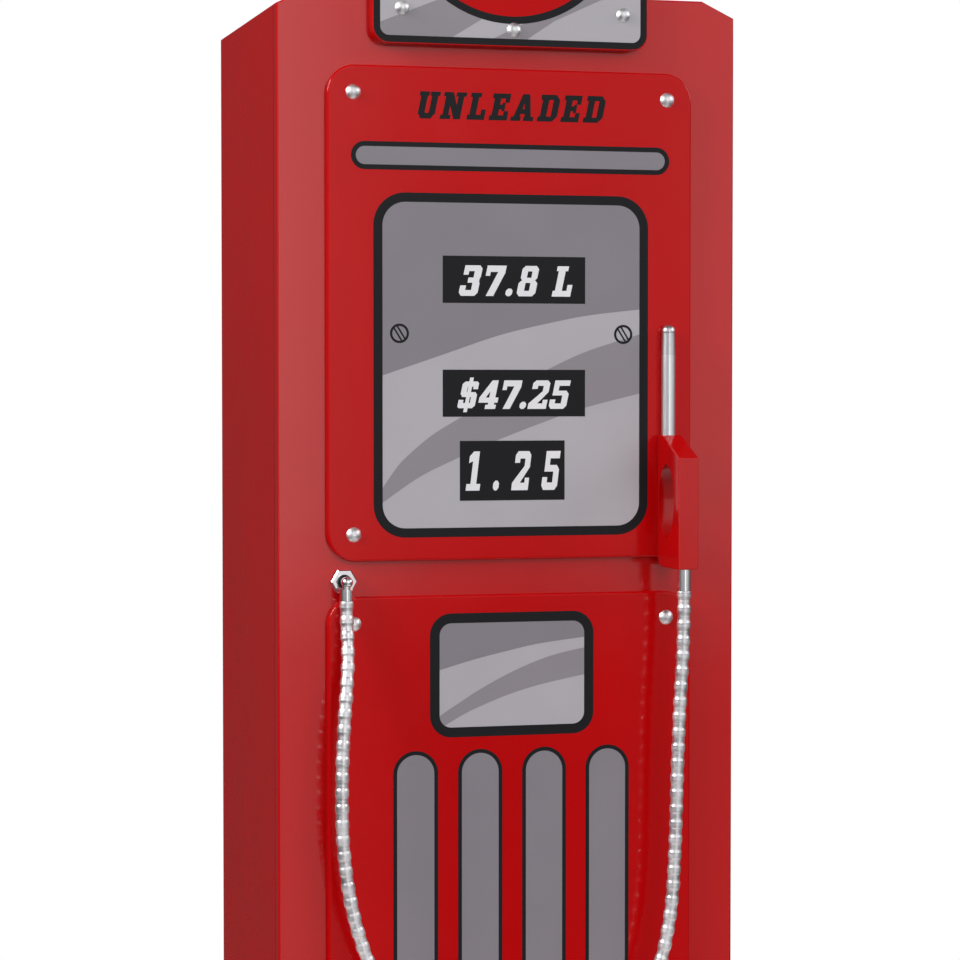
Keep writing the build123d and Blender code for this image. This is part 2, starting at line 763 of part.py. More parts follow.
# ---------------------------------------------------------------- applied panels
def applied_panel(top, bottom, holes):
    """A raised round-cornered panel on the door between two heights, with its screw holes."""
    with BuildPart() as panel:
        with BuildSketch(front_plane(door_front)):
            with Locations((0, (top + bottom) / 2)):
                RectangleRounded(panel_width, top - bottom, panel_radius)
        extrude(amount=panel_thickness)
        fillet(panel.faces().sort_by(Axis.Y)[0].edges(), panel_edge_radius)
        with BuildSketch(front_plane(door_front)):
            for x, z, radius in holes:
                with Locations((x, z)):
                    Circle(radius)
        extrude(amount=panel_thickness, mode=Mode.SUBTRACT)
    return panel


upper_holes = [(x, z, dome_shank_radius) for x, z in upper_screws_xz]
upper_holes += [(x, z, handle_screw_radius) for x, z in handle_screws_at]
upper_panel = applied_panel(
    cabinet_height - upper_panel_top, cabinet_height - upper_panel_bottom, upper_holes
)
upper_panel.part.label = "upper_panel"
export_step(upper_panel.part, "parts/upper_panel.step")

lower_panel = applied_panel(
    cabinet_height - lower_panel_top,
    lower_panel_floor,
    [(x, z, dome_shank_radius) for x, z in lower_screws_xz],
)
lower_panel.part.label = "lower_panel"
export_step(lower_panel.part, "parts/lower_panel.step")


dome_curve = (dome_radius**2 + dome_height**2) / (2 * dome_height)


def dome_screws(points, face_y):
    """Dome head screws with their heads on the face at y and their shanks behind it."""
    with BuildPart() as screws:
        for x, z in points:
            with BuildSketch(Plane(origin=(x, face_y, z), x_dir=(1, 0, 0), z_dir=(0, 0, 1))):
                with BuildLine():
                    Polyline(
                        (0, -dome_height),
                        (0, dome_shank_length),
                        (dome_shank_radius, dome_shank_length),
                        (dome_shank_radius, 0),
                        (dome_radius, 0),
                    )
                    RadiusArc((dome_radius, 0), (0, -dome_height), dome_curve)
                make_face()
            revolve(axis=Axis((x, face_y, z), (0, 1, 0)))
    return screws


upper_panel_screws = dome_screws(upper_screws_xz, panel_front)
upper_panel_screws.part.label = "upper_panel_screws"
export_step(upper_panel_screws.part, "parts/upper_panel_screws.step")

lower_panel_screws = dome_screws(lower_screws_xz, panel_front)
lower_panel_screws.part.label = "lower_panel_screws"
export_step(lower_panel_screws.part, "parts/lower_panel_screws.step")

# ---------------------------------------------------------------- sign board
sign_front = door_front - sign_thickness
sign_centre = cabinet_height + sign_centre_z
sign_foot = cabinet_height - sign_bottom
with BuildPart() as sign_board:
    with BuildSketch(front_plane(door_front)) as sign_outline:
        with Locations((-sign_shift, sign_centre)):
            Circle(sign_radius)
        with Locations((-sign_shift, (sign_foot + sign_centre) / 2)):
            Rectangle(2 * sign_radius, sign_centre - sign_foot)
        fillet(sign_outline.vertices().group_by(Axis.Y)[0], sign_corner_radius)
    extrude(amount=sign_thickness)
    fillet(sign_board.faces().sort_by(Axis.Y)[0].edges(), sign_edge_radius)
    with BuildSketch(front_plane(door_front)):
        with Locations(*sign_screws_at):
            Circle(dome_shank_radius)
    extrude(amount=sign_thickness, mode=Mode.SUBTRACT)
sign_board.part.label = "sign_board"
export_step(sign_board.part, "parts/sign_board.step")

sign_screws = dome_screws(sign_screws_at, sign_front - film)
sign_screws.part.label = "sign_screws"
export_step(sign_screws.part, "parts/sign_screws.step")

# ---------------------------------------------------------------- printed films
with BuildPart() as sign_film:
    with BuildSketch(front_plane(sign_front)) as film_outline:
        with Locations((-sign_shift, sign_centre)):
            Circle(sign_radius - sign_edge_radius - sign_film_inset)
        with Locations((-sign_shift, (sign_foot + sign_centre + sign_edge_radius + sign_film_inset) / 2)):
            Rectangle(
                2 * (sign_radius - sign_edge_radius - sign_film_inset),
                sign_centre - sign_foot - sign_edge_radius - sign_film_inset,
            )
        fillet(
            film_outline.vertices().group_by(Axis.Y)[0],
            sign_corner_radius - sign_edge_radius - sign_film_inset,
        )
        with Locations(*sign_screws_at):
            Circle(dome_shank_radius, mode=Mode.SUBTRACT)
    extrude(amount=film)
sign_film.part.label = "sign_film"
export_step(sign_film.part, "parts/sign_film.step")

with BuildPart() as title_bar_film:
    with BuildSketch(front_plane(panel_front)):
        with Locations((0, cabinet_height - title_bar[2])):
            SlotOverall(title_bar[0], title_bar[1])
    extrude(amount=film)
title_bar_film.part.label = "title_bar_film"
export_step(title_bar_film.part, "parts/title_bar_film.step")

with BuildPart() as display_film:
    with BuildSketch(front_plane(panel_front)):
        with Locations((0, cabinet_height - display[2])):
            RectangleRounded(display[0], display[1], display_radius)
    extrude(amount=film)
display_film.part.label = "display_film"
export_step(display_film.part, "parts/display_film.step")

with BuildPart() as window_film:
    with BuildSketch(front_plane(panel_front)):
        with Locations((0, cabinet_height - window[2])):
            RectangleRounded(window[0], window[1], window_radius)
    extrude(amount=film)
window_film.part.label = "window_film"
export_step(window_film.part, "parts/window_film.step")

vent_height = cabinet_height - vent_top - vent_floor
with BuildPart() as vent_films:
    with BuildSketch(front_plane(panel_front)):
        with Locations(*[(x, vent_floor + vent_height / 2) for x in vent_xs]):
            SlotOverall(vent_height, vent_width, rotation=90)
    extrude(amount=film)
vent_films.part.label = "vent_films"
export_step(vent_films.part, "parts/vent_films.step")

# ---------------------------------------------------------------- nozzle handle
spout_y = panel_front - spout_off_panel
spout_x = handle_x - spout_shift
spigot_foot = cabinet_height - handle_top - spigot_length
handle_hose_y = door_front - handle_ferrule_out
handle_foot = cabinet_height - handle_bottom
nipple_in_handle = handle_ferrule_length / 2
with BuildPart() as handle_block:
    with BuildSketch(Plane.YZ.offset(handle_x - handle_thickness / 2)) as block_side:
        with BuildLine():
            Polyline(
                (panel_front, handle_foot),
                (panel_front, cabinet_height - handle_top),
                (panel_front - handle_flat, cabinet_height - handle_top),
                (door_front - handle_reach, cabinet_height - handle_nose),
                (door_front - handle_reach, handle_foot),
                close=True,
            )
        make_face()
        fillet(block_side.vertices().group_by(Axis.Y)[0].sort_by(Axis.X)[-1], handle_heel_radius)
    extrude(amount=handle_thickness)
    outer_edges = handle_block.edges().filter_by(
        lambda edge: edge.center().Y < panel_front - handle_edge_radius
    )
    fillet(outer_edges, handle_edge_radius)
    with BuildSketch(Plane.YZ.offset(handle_x - handle_thickness / 2)):
        with Locations((door_front - grip_out, cabinet_height - grip_below)):
            Ellipse(grip_depth, grip_height)
    extrude(amount=handle_thickness, mode=Mode.SUBTRACT)
    with BuildSketch(Plane.XY.offset(spigot_foot)):
        with Locations((spout_x, spout_y)):
            Circle(spigot_radius)
    extrude(amount=spigot_length, mode=Mode.SUBTRACT)
    with BuildSketch(Plane.XY.offset(handle_foot)):
        with Locations((handle_x, handle_hose_y)):
            Circle(nipple_radius)
    extrude(amount=nipple_in_handle, mode=Mode.SUBTRACT)
    with BuildSketch(front_plane(panel_front)):
        with Locations(*handle_screws_at):
            Circle(handle_screw_radius)
    extrude(amount=handle_screw_bite, mode=Mode.SUBTRACT)
handle_block.part.label = "handle_block"
export_step(handle_block.part, "parts/handle_block.step")

spout_foot = cabinet_height - handle_top
spout_end = cabinet_height - spout_top
seam_z = cabinet_height - spout_seam
with BuildPart() as handle_spout:
    with BuildSketch(Plane(origin=(spout_x, spout_y, 0), x_dir=(1, 0, 0), z_dir=(0, -1, 0))):
        with BuildLine():
            Polyline(
                (spout_neck_radius, spout_end - spout_lip),
                (spout_radius, seam_z),
                (spout_radius, spout_foot),
                (spigot_radius, spout_foot),
                (spigot_radius, spigot_foot),
                (0, spigot_foot),
                (0, spout_foot),
                (spout_tip_radius - spout_wall, spout_foot),
                (spout_tip_radius - spout_wall, spout_end),
                (spout_tip_radius, spout_end),
            )
            ThreePointArc(
                (spout_tip_radius, spout_end),
                (spout_neck_radius - 1.0, spout_end - spout_lip / 3),
                (spout_neck_radius, spout_end - spout_lip),
            )
        make_face()
    revolve(axis=Axis((spout_x, spout_y, 0), (0, 0, 1)))
handle_spout.part.label = "handle_spout"
export_step(handle_spout.part, "parts/handle_spout.step")

with BuildPart() as handle_screws:
    with BuildSketch(front_plane(door_back)):
        with Locations(*handle_screws_at):
            Circle(handle_screw_radius)
    extrude(amount=board + panel_thickness + handle_screw_bite)
    with BuildSketch(front_plane(door_back)):
        with Locations(*handle_screws_at):
            Circle(pan_radius)
    extrude(amount=-pan_height)
    fillet(handle_screws.edges().group_by(Axis.Y)[-1], pan_height / 2)
handle_screws.part.label = "handle_screws"
export_step(handle_screws.part, "parts/handle_screws.step")

# ---------------------------------------------------------------- hose outlet in the door
with BuildPart() as outlet_nut:
    with BuildSketch(front_plane(door_front)):
        with Locations((outlet_x, outlet_z)):
            RegularPolygon(outlet_flats / 2, 6, major_radius=False)
            Circle(outlet_thread_radius, mode=Mode.SUBTRACT)
    extrude(amount=outlet_nut_height)
    chamfer(outlet_nut.faces().sort_by(Axis.Y)[0].outer_wire().edges(), 1)
outlet_nut.part.label = "outlet_nut"
export_step(outlet_nut.part, "parts/outlet_nut.step")

with BuildPart() as outlet_locknut:
    with BuildSketch(front_plane(door_back + outlet_locknut_height)):
        with Locations((outlet_x, outlet_z)):
            RegularPolygon(outlet_flats / 2, 6, major_radius=False)
            Circle(outlet_thread_radius, mode=Mode.SUBTRACT)
    extrude(amount=outlet_locknut_height)
outlet_locknut.part.label = "outlet_locknut"
export_step(outlet_locknut.part, "parts/outlet_locknut.step")

outlet_nipple_x = outlet_x - outlet_nipple_shift
with BuildPart() as outlet_elbow:
    with BuildSketch(front_plane(door_back + outlet_locknut_height)):
        with Locations((outlet_x, outlet_z)):
            Circle(outlet_thread_radius)
    extrude(amount=outlet_locknut_height + board + outlet_reach)
    with Locations((outlet_x, outlet_y, outlet_z)):
        Sphere(outlet_ball_radius)
    with BuildSketch(Plane.XY.offset(outlet_z)):
        with Locations((outlet_nipple_x, outlet_y)):
            Circle(nipple_radius)
    extrude(amount=-ferrule_drop - ferrule_length / 2)
outlet_elbow.part.label = "outlet_elbow"
export_step(outlet_elbow.part, "parts/outlet_elbow.step")

# ---------------------------------------------------------------- hose
def ferrule(x, y, low, length, bore_low, bore_length):
    """A crimped sleeve around the hose end, bored for the nipple."""
    with BuildPart() as sleeve:
        with BuildSketch(Plane.XY.offset(low)):
            with Locations((x, y)):
                Circle(ferrule_radius)
        extrude(amount=length)
        chamfer(sleeve.edges().group_by(Axis.Z)[0], 0.5)
        with BuildSketch(Plane.XY.offset(bore_low)):
            with Locations((x, y)):
                Circle(nipple_radius)
        extrude(amount=bore_length, mode=Mode.SUBTRACT)
    return sleeve


outlet_ferrule_foot = outlet_z - ferrule_drop - ferrule_length
outlet_ferrule = ferrule(
    outlet_nipple_x,
    outlet_y,
    outlet_ferrule_foot,
    ferrule_length,
    outlet_ferrule_foot + ferrule_length / 2,
    ferrule_length / 2,
)
outlet_ferrule.part.label = "outlet_ferrule"
export_step(outlet_ferrule.part, "parts/outlet_ferrule.step")

with BuildPart() as handle_ferrule:
    with BuildSketch(Plane.XY.offset(handle_foot - handle_ferrule_length)):
        with Locations((handle_x, handle_hose_y)):
            Circle(ferrule_radius)
    extrude(amount=handle_ferrule_length)
    with BuildSketch(Plane.XY.offset(handle_foot)):
        with Locations((handle_x, handle_hose_y)):
            Circle(nipple_radius)
    extrude(amount=nipple_in_handle)
handle_ferrule.part.label = "handle_ferrule"
export_step(handle_ferrule.part, "parts/handle_ferrule.step")

hose_runs = [math.dist(a, b) for a, b in zip(hose_route, hose_route[1:])]
hose_radii = []
for index in range(1, len(hose_route) - 1):
    before = Vector(*hose_route[index]) - Vector(*hose_route[index - 1])
    after = Vector(*hose_route[index + 1]) - Vector(*hose_route[index])
    half_turn = math.radians(before.get_angle(after)) / 2
    hose_radii.append(0.45 * min(hose_runs[index - 1], hose_runs[index]) / math.tan(half_turn))
print("hose radii:", [round(radius) for radius in hose_radii])

with BuildPart() as hose:
    with BuildLine() as hose_line:
        FilletPolyline(*hose_route, radius=hose_radii)
    with BuildSketch(Plane(origin=hose_line.line @ 0, z_dir=hose_line.line % 0)):
        Circle(hose_radius)
    sweep()
hose.part.label = "hose"
export_step(hose.part, "parts/hose.step")
hose_length = hose_line.wires()[0].length
hose_volume = math.pi * hose_radius**2 * hose_length
print("hose length", round(hose_length), "volume ratio", round(hose.part.volume / hose_volume, 4))
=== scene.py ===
"""A child's wardrobe in lacquered MDF, shaped as an old petrol pump, in a plain studio.

Metres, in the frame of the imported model: +X to the right of someone facing the
door, +Y to the back, +Z up, floor at zero.
"""

import math

import bmesh
import bpy
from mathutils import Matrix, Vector
from mathutils.geometry import delaunay_2d_cdt


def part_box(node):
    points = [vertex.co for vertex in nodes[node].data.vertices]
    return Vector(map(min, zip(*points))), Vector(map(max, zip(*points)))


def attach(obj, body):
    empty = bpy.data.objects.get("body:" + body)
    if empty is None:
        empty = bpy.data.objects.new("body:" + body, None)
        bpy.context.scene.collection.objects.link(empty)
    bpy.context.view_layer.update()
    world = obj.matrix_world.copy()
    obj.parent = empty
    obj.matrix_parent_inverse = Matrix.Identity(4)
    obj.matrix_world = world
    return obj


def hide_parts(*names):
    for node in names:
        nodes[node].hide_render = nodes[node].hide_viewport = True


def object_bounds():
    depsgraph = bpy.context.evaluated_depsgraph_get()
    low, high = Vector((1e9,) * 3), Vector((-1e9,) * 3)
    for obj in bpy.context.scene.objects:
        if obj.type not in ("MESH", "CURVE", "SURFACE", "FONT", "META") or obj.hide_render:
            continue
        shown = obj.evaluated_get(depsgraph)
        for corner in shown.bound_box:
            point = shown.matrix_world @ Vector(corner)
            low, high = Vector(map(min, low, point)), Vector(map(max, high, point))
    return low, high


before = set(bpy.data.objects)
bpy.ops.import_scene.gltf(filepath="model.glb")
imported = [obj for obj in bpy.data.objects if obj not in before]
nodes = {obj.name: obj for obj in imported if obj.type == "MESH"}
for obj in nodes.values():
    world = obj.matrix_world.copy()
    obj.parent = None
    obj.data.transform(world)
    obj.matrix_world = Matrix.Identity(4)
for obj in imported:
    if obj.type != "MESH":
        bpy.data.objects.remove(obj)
cad_low, cad_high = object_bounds()

# ---------------------------------------------------------------- case boards
# Sides, top, bottom, plinth and shelves are 18 mm MDF, sanded, primed and sprayed with red
# polyurethane lacquer on every face.  A spray gun leaves a faint orange peel in it.
MM = 0.001


def linear(hex_colour):
    """An sRGB hex colour as the linear colour that a shader works in."""
    channels = [int(hex_colour[i:i + 2], 16) / 255 for i in (1, 3, 5)]
    return (*[c / 12.92 if c <= 0.04045 else ((c + 0.055) / 1.055) ** 2.4 for c in channels], 1.0)


def add_node(tree, kind, inputs=None, **settings):
    """A new node with its settings, and its inputs linked or set."""
    node = tree.nodes.new(kind)
    for name, value in settings.items():
        setattr(node, name, value)
    for name, value in (inputs or {}).items():
        if isinstance(value, bpy.types.NodeSocket):
            tree.links.new(value, node.inputs[name])
        else:
            node.inputs[name].default_value = value
    return node


def shaded(name, surface):
    """A material whose tree is made by surface(tree, place), place being the object's own coordinates."""
    material = bpy.data.materials.new(name)
    material.use_nodes = True
    tree = material.node_tree
    tree.nodes.clear()
    place = add_node(tree, "ShaderNodeTexCoord").outputs["Object"]
    shader = surface(tree, place)
    add_node(tree, "ShaderNodeOutputMaterial", {"Surface": shader.outputs[0]})
    return material


def per_metre(size_mm):
    """The scale of a texture whose features are that many millimetres wide."""
    return 1 / (size_mm * MM)


def sprayed_lacquer(deep, bright, roughness, specular):
    """Sprayed lacquer: orange peel about 4 mm wide, dust nibs, and a slow drift of colour and gloss."""

    def surface(tree, place):
        drift = add_node(tree, "ShaderNodeTexNoise", {
            "Vector": place, "Scale": per_metre(180), "Detail": 3.0})
        colour = add_node(tree, "ShaderNodeMix", {
            "Factor": drift.outputs["Fac"], "A": linear(deep), "B": linear(bright)}, data_type="RGBA")
        peel = add_node(tree, "ShaderNodeTexNoise", {"Vector": place, "Scale": per_metre(4), "Detail": 1.0})
        nibs = add_node(tree, "ShaderNodeTexNoise", {"Vector": place, "Scale": per_metre(0.9), "Detail": 2.0})
        smears = add_node(tree, "ShaderNodeTexNoise", {
            "Vector": place, "Scale": per_metre(60), "Detail": 5.0})
        gloss = add_node(tree, "ShaderNodeMapRange", {
            "Value": smears.outputs["Fac"], "From Min": 0.3, "From Max": 0.7,
            "To Min": roughness * 0.75, "To Max": roughness * 1.35})
        skin = add_node(tree, "ShaderNodeBump", {
            "Height": peel.outputs["Fac"], "Strength": 0.05, "Distance": 0.2 * MM})
        grit = add_node(tree, "ShaderNodeBump", {
            "Height": nibs.outputs["Fac"], "Strength": 0.03, "Distance": 0.1 * MM,
            "Normal": skin.outputs["Normal"]})
        return add_node(tree, "ShaderNodeBsdfPrincipled", {
            "Base Color": colour.outputs["Result"], "Roughness": gloss.outputs["Result"],
            "Normal": grit.outputs["Normal"], "IOR": 1.5, "Specular IOR Level": specular})

    return surface


def finish_nodes(names, material):
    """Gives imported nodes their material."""
    for name in names:
        mesh = nodes[name].data
        mesh.materials.clear()
        mesh.materials.append(material)


# A deep even red with soft, faintly rippled reflections.
case_lacquer = shaded("red gloss lacquer on MDF, case", sprayed_lacquer("#AB0306", "#B80407", 0.16, 0.22))
case_boards = ("side_left", "side_right", "top_panel", "bottom_panel", "plinth_board", "fixed_shelf",
               "shelf_1", "shelf_2", "shelf_3")
finish_nodes(case_boards, case_lacquer)

# ---------------------------------------------------------------- back panel
# A sheet of 3 mm hardboard, white melamine on the face and nailed into the backs of the boards.
# The melamine has a fine upright grain, so the white is not quite even and shines only softly.


def melamine(tree, place):
    stretch = add_node(tree, "ShaderNodeMapping", {"Vector": place, "Scale": (1.0, 1.0, 0.12)})
    grain = add_node(tree, "ShaderNodeTexNoise", {
        "Vector": stretch.outputs["Vector"], "Scale": per_metre(2.5), "Detail": 4.0})
    colour = add_node(tree, "ShaderNodeMix", {
        "Factor": grain.outputs["Fac"], "A": linear("#D9D6CE"), "B": linear("#EAE8E2")}, data_type="RGBA")
    bump = add_node(tree, "ShaderNodeBump", {
        "Height": grain.outputs["Fac"], "Strength": 0.15, "Distance": 0.1 * MM})
    return add_node(tree, "ShaderNodeBsdfPrincipled", {
        "Base Color": colour.outputs["Result"], "Roughness": 0.45, "Normal": bump.outputs["Normal"]})


finish_nodes(["back_panel"], shaded("white melamine hardboard", melamine))

# ---------------------------------------------------------------- steel fittings of the case
# Pins, cam bolts, nails, brackets and screws are steel, bright zinc plated in a barrel, so they
# are bluish, slightly cloudy and finely scuffed.  The cams are zinc, cast and left as they are.


def plated(tint, shade, roughness, cloud_mm, scuff):
    """Plated or cast metal with cloudy gloss and fine scuffs."""

    def surface(tree, place):
        cloud = add_node(tree, "ShaderNodeTexNoise", {
            "Vector": place, "Scale": per_metre(cloud_mm), "Detail": 4.0})
        colour = add_node(tree, "ShaderNodeMix", {
            "Factor": cloud.outputs["Fac"], "A": linear(shade), "B": linear(tint)}, data_type="RGBA")
        gloss = add_node(tree, "ShaderNodeMapRange", {
            "Value": cloud.outputs["Fac"], "From Min": 0.3, "From Max": 0.7,
            "To Min": roughness * 0.7, "To Max": roughness * 1.4})
        scratches = add_node(tree, "ShaderNodeTexNoise", {
            "Vector": place, "Scale": per_metre(0.6), "Detail": 3.0})
        bump = add_node(tree, "ShaderNodeBump", {
            "Height": scratches.outputs["Fac"], "Strength": scuff, "Distance": 0.05 * MM})
        return add_node(tree, "ShaderNodeBsdfPrincipled", {
            "Base Color": colour.outputs["Result"], "Metallic": 1.0, "Roughness": gloss.outputs["Result"],
            "Normal": bump.outputs["Normal"]})

    return surface


# Bluish, slightly cloudy steel that catches the light in small patches.
zinc_plate = shaded("bright zinc plated steel", plated("#C9CDD2", "#9DA3AA", 0.28, 6, 0.10))
zinc_fittings = ("shelf_pins", "cam_bolts", "back_nails", "wall_brackets", "bracket_screws",
                 "hinge_plate_screws", "hinge_arm_screws", "link_pins", "cup_pins", "cup_screws",
                 "handle_screws", "outlet_locknut")
finish_nodes(zinc_fittings, zinc_plate)
# Dull grey metal with a coarse skin.
zinc_cast = shaded("as-cast zinc", plated("#A9ABAE", "#86898D", 0.45, 3, 0.25))
finish_nodes(["cam_locks"], zinc_cast)

# ---------------------------------------------------------------- dowels
# Beech pins glued between the boards, cut from straight-grained stock, so a fine pale grain
# runs along them.


def beech(tree, place):
    stretch = add_node(tree, "ShaderNodeMapping", {"Vector": place, "Scale": (0.1, 1.0, 1.0)})
    grain = add_node(tree, "ShaderNodeTexNoise", {
        "Vector": stretch.outputs["Vector"], "Scale": per_metre(0.8), "Detail": 4.0})
    colour = add_node(tree, "ShaderNodeMix", {
        "Factor": grain.outputs["Fac"], "A": linear("#B98C5A"), "B": linear("#DDB788")}, data_type="RGBA")
    return add_node(tree, "ShaderNodeBsdfPrincipled", {
        "Base Color": colour.outputs["Result"], "Roughness": 0.6})


finish_nodes(["wood_dowels"], shaded("bare beech", beech))

# ---------------------------------------------------------------- glides and buffers
# Nail-in glides are black polyethylene, and the door buffers clear soft PVC.  Both are moulded,
# with a fine spark-eroded skin.


def moulded(colour_hex, roughness):
    """Moulded plastic with a spark-eroded skin of about half a millimetre."""

    def surface(tree, place):
        grain = add_node(tree, "ShaderNodeTexNoise", {
            "Vector": place, "Scale": per_metre(0.5), "Detail": 2.0})
        bump = add_node(tree, "ShaderNodeBump", {
            "Height": grain.outputs["Fac"], "Strength": 0.2, "Distance": 0.05 * MM})
        return add_node(tree, "ShaderNodeBsdfPrincipled", {
            "Base Color": linear(colour_hex), "Roughness": roughness, "Normal": bump.outputs["Normal"]})

    return surface


finish_nodes(["glides"], shaded("black polyethylene", moulded("#17181A", 0.5)))
finish_nodes(["door_buffers"], shaded("clear soft PVC", moulded("#C9CCCC", 0.25)))

# ---------------------------------------------------------------- concealed hinges
# Cups, arms, links and plates are pressed from steel strip, nickel plated and screwed on.
# The nickel is a warm bright metal with faint rolling marks.
nickel_plate = shaded("nickel plated pressed steel", plated("#D2CEC4", "#B2ADA2", 0.2, 8, 0.08))
finish_nodes(("hinge_plates", "hinge_arms", "hinge_links", "hinge_cups"), nickel_plate)

# ---------------------------------------------------------------- door and raised panels
# The door is the same lacquered board.  Its raised panels and sign are thinner MDF, lacquered
# apart in a softer gloss and screwed on, so they mirror less of the room than the door does.

# A clear mirror that veils the red with the pale room in front of it.
door_lacquer = shaded(
    "red high-gloss lacquer on MDF, door", sprayed_lacquer("#AE0306", "#BA0407", 0.09, 0.62))
finish_nodes(["door_board"], door_lacquer)

# A little less veiled than the door, on the block that the spout and the hose meet in.
handle_lacquer = shaded("red gloss lacquer on MDF, nozzle", sprayed_lacquer("#AC0306", "#B90407", 0.1, 0.45))
finish_nodes(["handle_block"], handle_lacquer)

# A purer, more saturated red than the door's, because it mirrors less.
panel_lacquer = shaded("red satin lacquer on MDF, panels", sprayed_lacquer("#AC0306", "#B90407", 0.09, 0.22))
finish_nodes(("upper_panel", "lower_panel", "sign_board"), panel_lacquer)

# ---------------------------------------------------------------- chrome screws and outlet
# The hex nut, elbow and ferrules are turned, polished and chrome plated, with hairlines from
# wiping: a bright metal with sharp reflections.  The dome heads are plated over a satin ground,
# so each shows as a pale disc.


def polished_chrome(tree, place):
    wipe = add_node(tree, "ShaderNodeMapping", {"Vector": place, "Scale": (1.0, 1.0, 0.15)})
    hairlines = add_node(tree, "ShaderNodeTexNoise", {
        "Vector": wipe.outputs["Vector"], "Scale": per_metre(0.7), "Detail": 4.0})
    gloss = add_node(tree, "ShaderNodeMapRange", {
        "Value": hairlines.outputs["Fac"], "From Min": 0.35, "From Max": 0.7, "To Min": 0.07, "To Max": 0.17})
    bump = add_node(tree, "ShaderNodeBump", {
        "Height": hairlines.outputs["Fac"], "Strength": 0.05, "Distance": 0.02 * MM})
    return add_node(tree, "ShaderNodeBsdfPrincipled", {
        "Base Color": linear("#F0EFF2"), "Metallic": 1.0, "Roughness": gloss.outputs["Result"],
        "Normal": bump.outputs["Normal"]})


chrome = shaded("polished chrome plate", polished_chrome)
finish_nodes(("outlet_nut", "outlet_elbow", "outlet_ferrule", "handle_ferrule"), chrome)
dome_chrome = shaded("satin chromed dome heads", plated("#F4F3F5", "#E4E3E6", 0.42, 5, 0.04))
finish_nodes(("upper_panel_screws", "lower_panel_screws", "sign_screws"), dome_chrome)

# ---------------------------------------------------------------- spout
# A turned steel tube pushed into the top of the nozzle and satin chrome plated, with a round-ended tip.
# The tip is painted a little darker, as painted shade for the shading of its taper.  Fine turning lines blur
# its reflections into long soft bands.
TIP_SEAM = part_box("handle_spout")[1].z - 34 * MM
SEAM_HALF = 0.2 * MM


def satin_tube(tree, place):
    turning = add_node(tree, "ShaderNodeMapping", {"Vector": place, "Scale": (0.1, 0.1, 1.0)})
    lines = add_node(tree, "ShaderNodeTexNoise", {
        "Vector": turning.outputs["Vector"], "Scale": per_metre(0.8), "Detail": 3.0})
    height = add_node(tree, "ShaderNodeSeparateXYZ", {"Vector": place}).outputs["Z"]
    # Above the seam the colour is darkened: painted shade for the tapered tip.
    tip = add_node(tree, "ShaderNodeMapRange", {
        "Value": height, "From Min": TIP_SEAM - SEAM_HALF, "From Max": TIP_SEAM + SEAM_HALF})
    colour = add_node(tree, "ShaderNodeMix", {
        "Factor": tip.outputs["Result"], "A": linear("#EFEEF1"), "B": linear("#D8D7DB")}, data_type="RGBA")
    gloss = add_node(tree, "ShaderNodeMapRange", {
        "Value": lines.outputs["Fac"], "From Min": 0.3, "From Max": 0.7, "To Min": 0.28, "To Max": 0.38})
    bump = add_node(tree, "ShaderNodeBump", {
        "Height": lines.outputs["Fac"], "Strength": 0.03, "Distance": 0.02 * MM})
    return add_node(tree, "ShaderNodeBsdfPrincipled", {
        "Base Color": colour.outputs["Result"], "Metallic": 1.0, "Roughness": gloss.outputs["Result"],
        "Normal": bump.outputs["Normal"]})


spout_chrome = shaded("satin chrome on turned steel", satin_tube)
finish_nodes(["handle_spout"], spout_chrome)

# ---------------------------------------------------------------- printed graphics
# Ink is laid on the lacquer in flat layers, black first, then silver and greys, then the
# numerals.  It stands a few tenths proud, is duller than the lacquer and finely grained.


def printed_ink(colour_hex, roughness, specular, speckle):
    """Printed ink with a grain of about a millimetre, drawn coarser than real so that it shows."""

    def surface(tree, place):
        grain = add_node(tree, "ShaderNodeTexNoise", {
            "Vector": place, "Scale": per_metre(1.2), "Detail": 3.0})
        cloud = add_node(tree, "ShaderNodeTexNoise", {"Vector": place, "Scale": per_metre(90), "Detail": 2.0})
        both = add_node(tree, "ShaderNodeMath", {0: grain.outputs["Fac"], 1: cloud.outputs["Fac"]})
        mean = add_node(tree, "ShaderNodeMath", {0: both.outputs[0], 1: 0.5}, operation="MULTIPLY")
        light = [min(1.0, c * (1 + speckle)) for c in linear(colour_hex)[:3]]
        dark = [c * (1 - speckle) for c in linear(colour_hex)[:3]]
        colour = add_node(tree, "ShaderNodeMix", {
            "Factor": mean.outputs[0], "A": (*dark, 1.0), "B": (*light, 1.0)}, data_type="RGBA")
        bump = add_node(tree, "ShaderNodeBump", {
            "Height": grain.outputs["Fac"], "Strength": 0.08, "Distance": 0.05 * MM})
        return add_node(tree, "ShaderNodeBsdfPrincipled", {
            "Base Color": colour.outputs["Result"], "Roughness": roughness, "Specular IOR Level": specular,
            "Normal": bump.outputs["Normal"]})

    return surface


# The black is dense and dull, the silver and greys are mottled, as inks with metal flake are, the
# white is even, and the red is close to the lacquer's but hardly mirrors.
ink_black = shaded("black printing ink", printed_ink("#161619", 0.35, 0.15, 0.10))
ink_silver = shaded("silver printing ink", printed_ink("#A9A5AB", 0.42, 0.25, 0.14))
ink_grey = shaded("grey printing ink", printed_ink("#7F7A81", 0.42, 0.25, 0.14))
ink_pale = shaded("pale grey printing ink", printed_ink("#878288", 0.42, 0.25, 0.12))
ink_white = shaded("white printing ink", printed_ink("#DCDBDF", 0.40, 0.25, 0.05))
ink_red = shaded("red printing ink", printed_ink("#B20508", 0.30, 0.08, 0.06))

LAYER = 0.07 * MM


def counter_clockwise(outline):
    """The outline, turned so that its area is positive."""
    area = sum(a[0] * b[1] - b[0] * a[1] for a, b in zip(outline, outline[1:] + outline[:1]))
    return outline if area > 0 else outline[::-1]


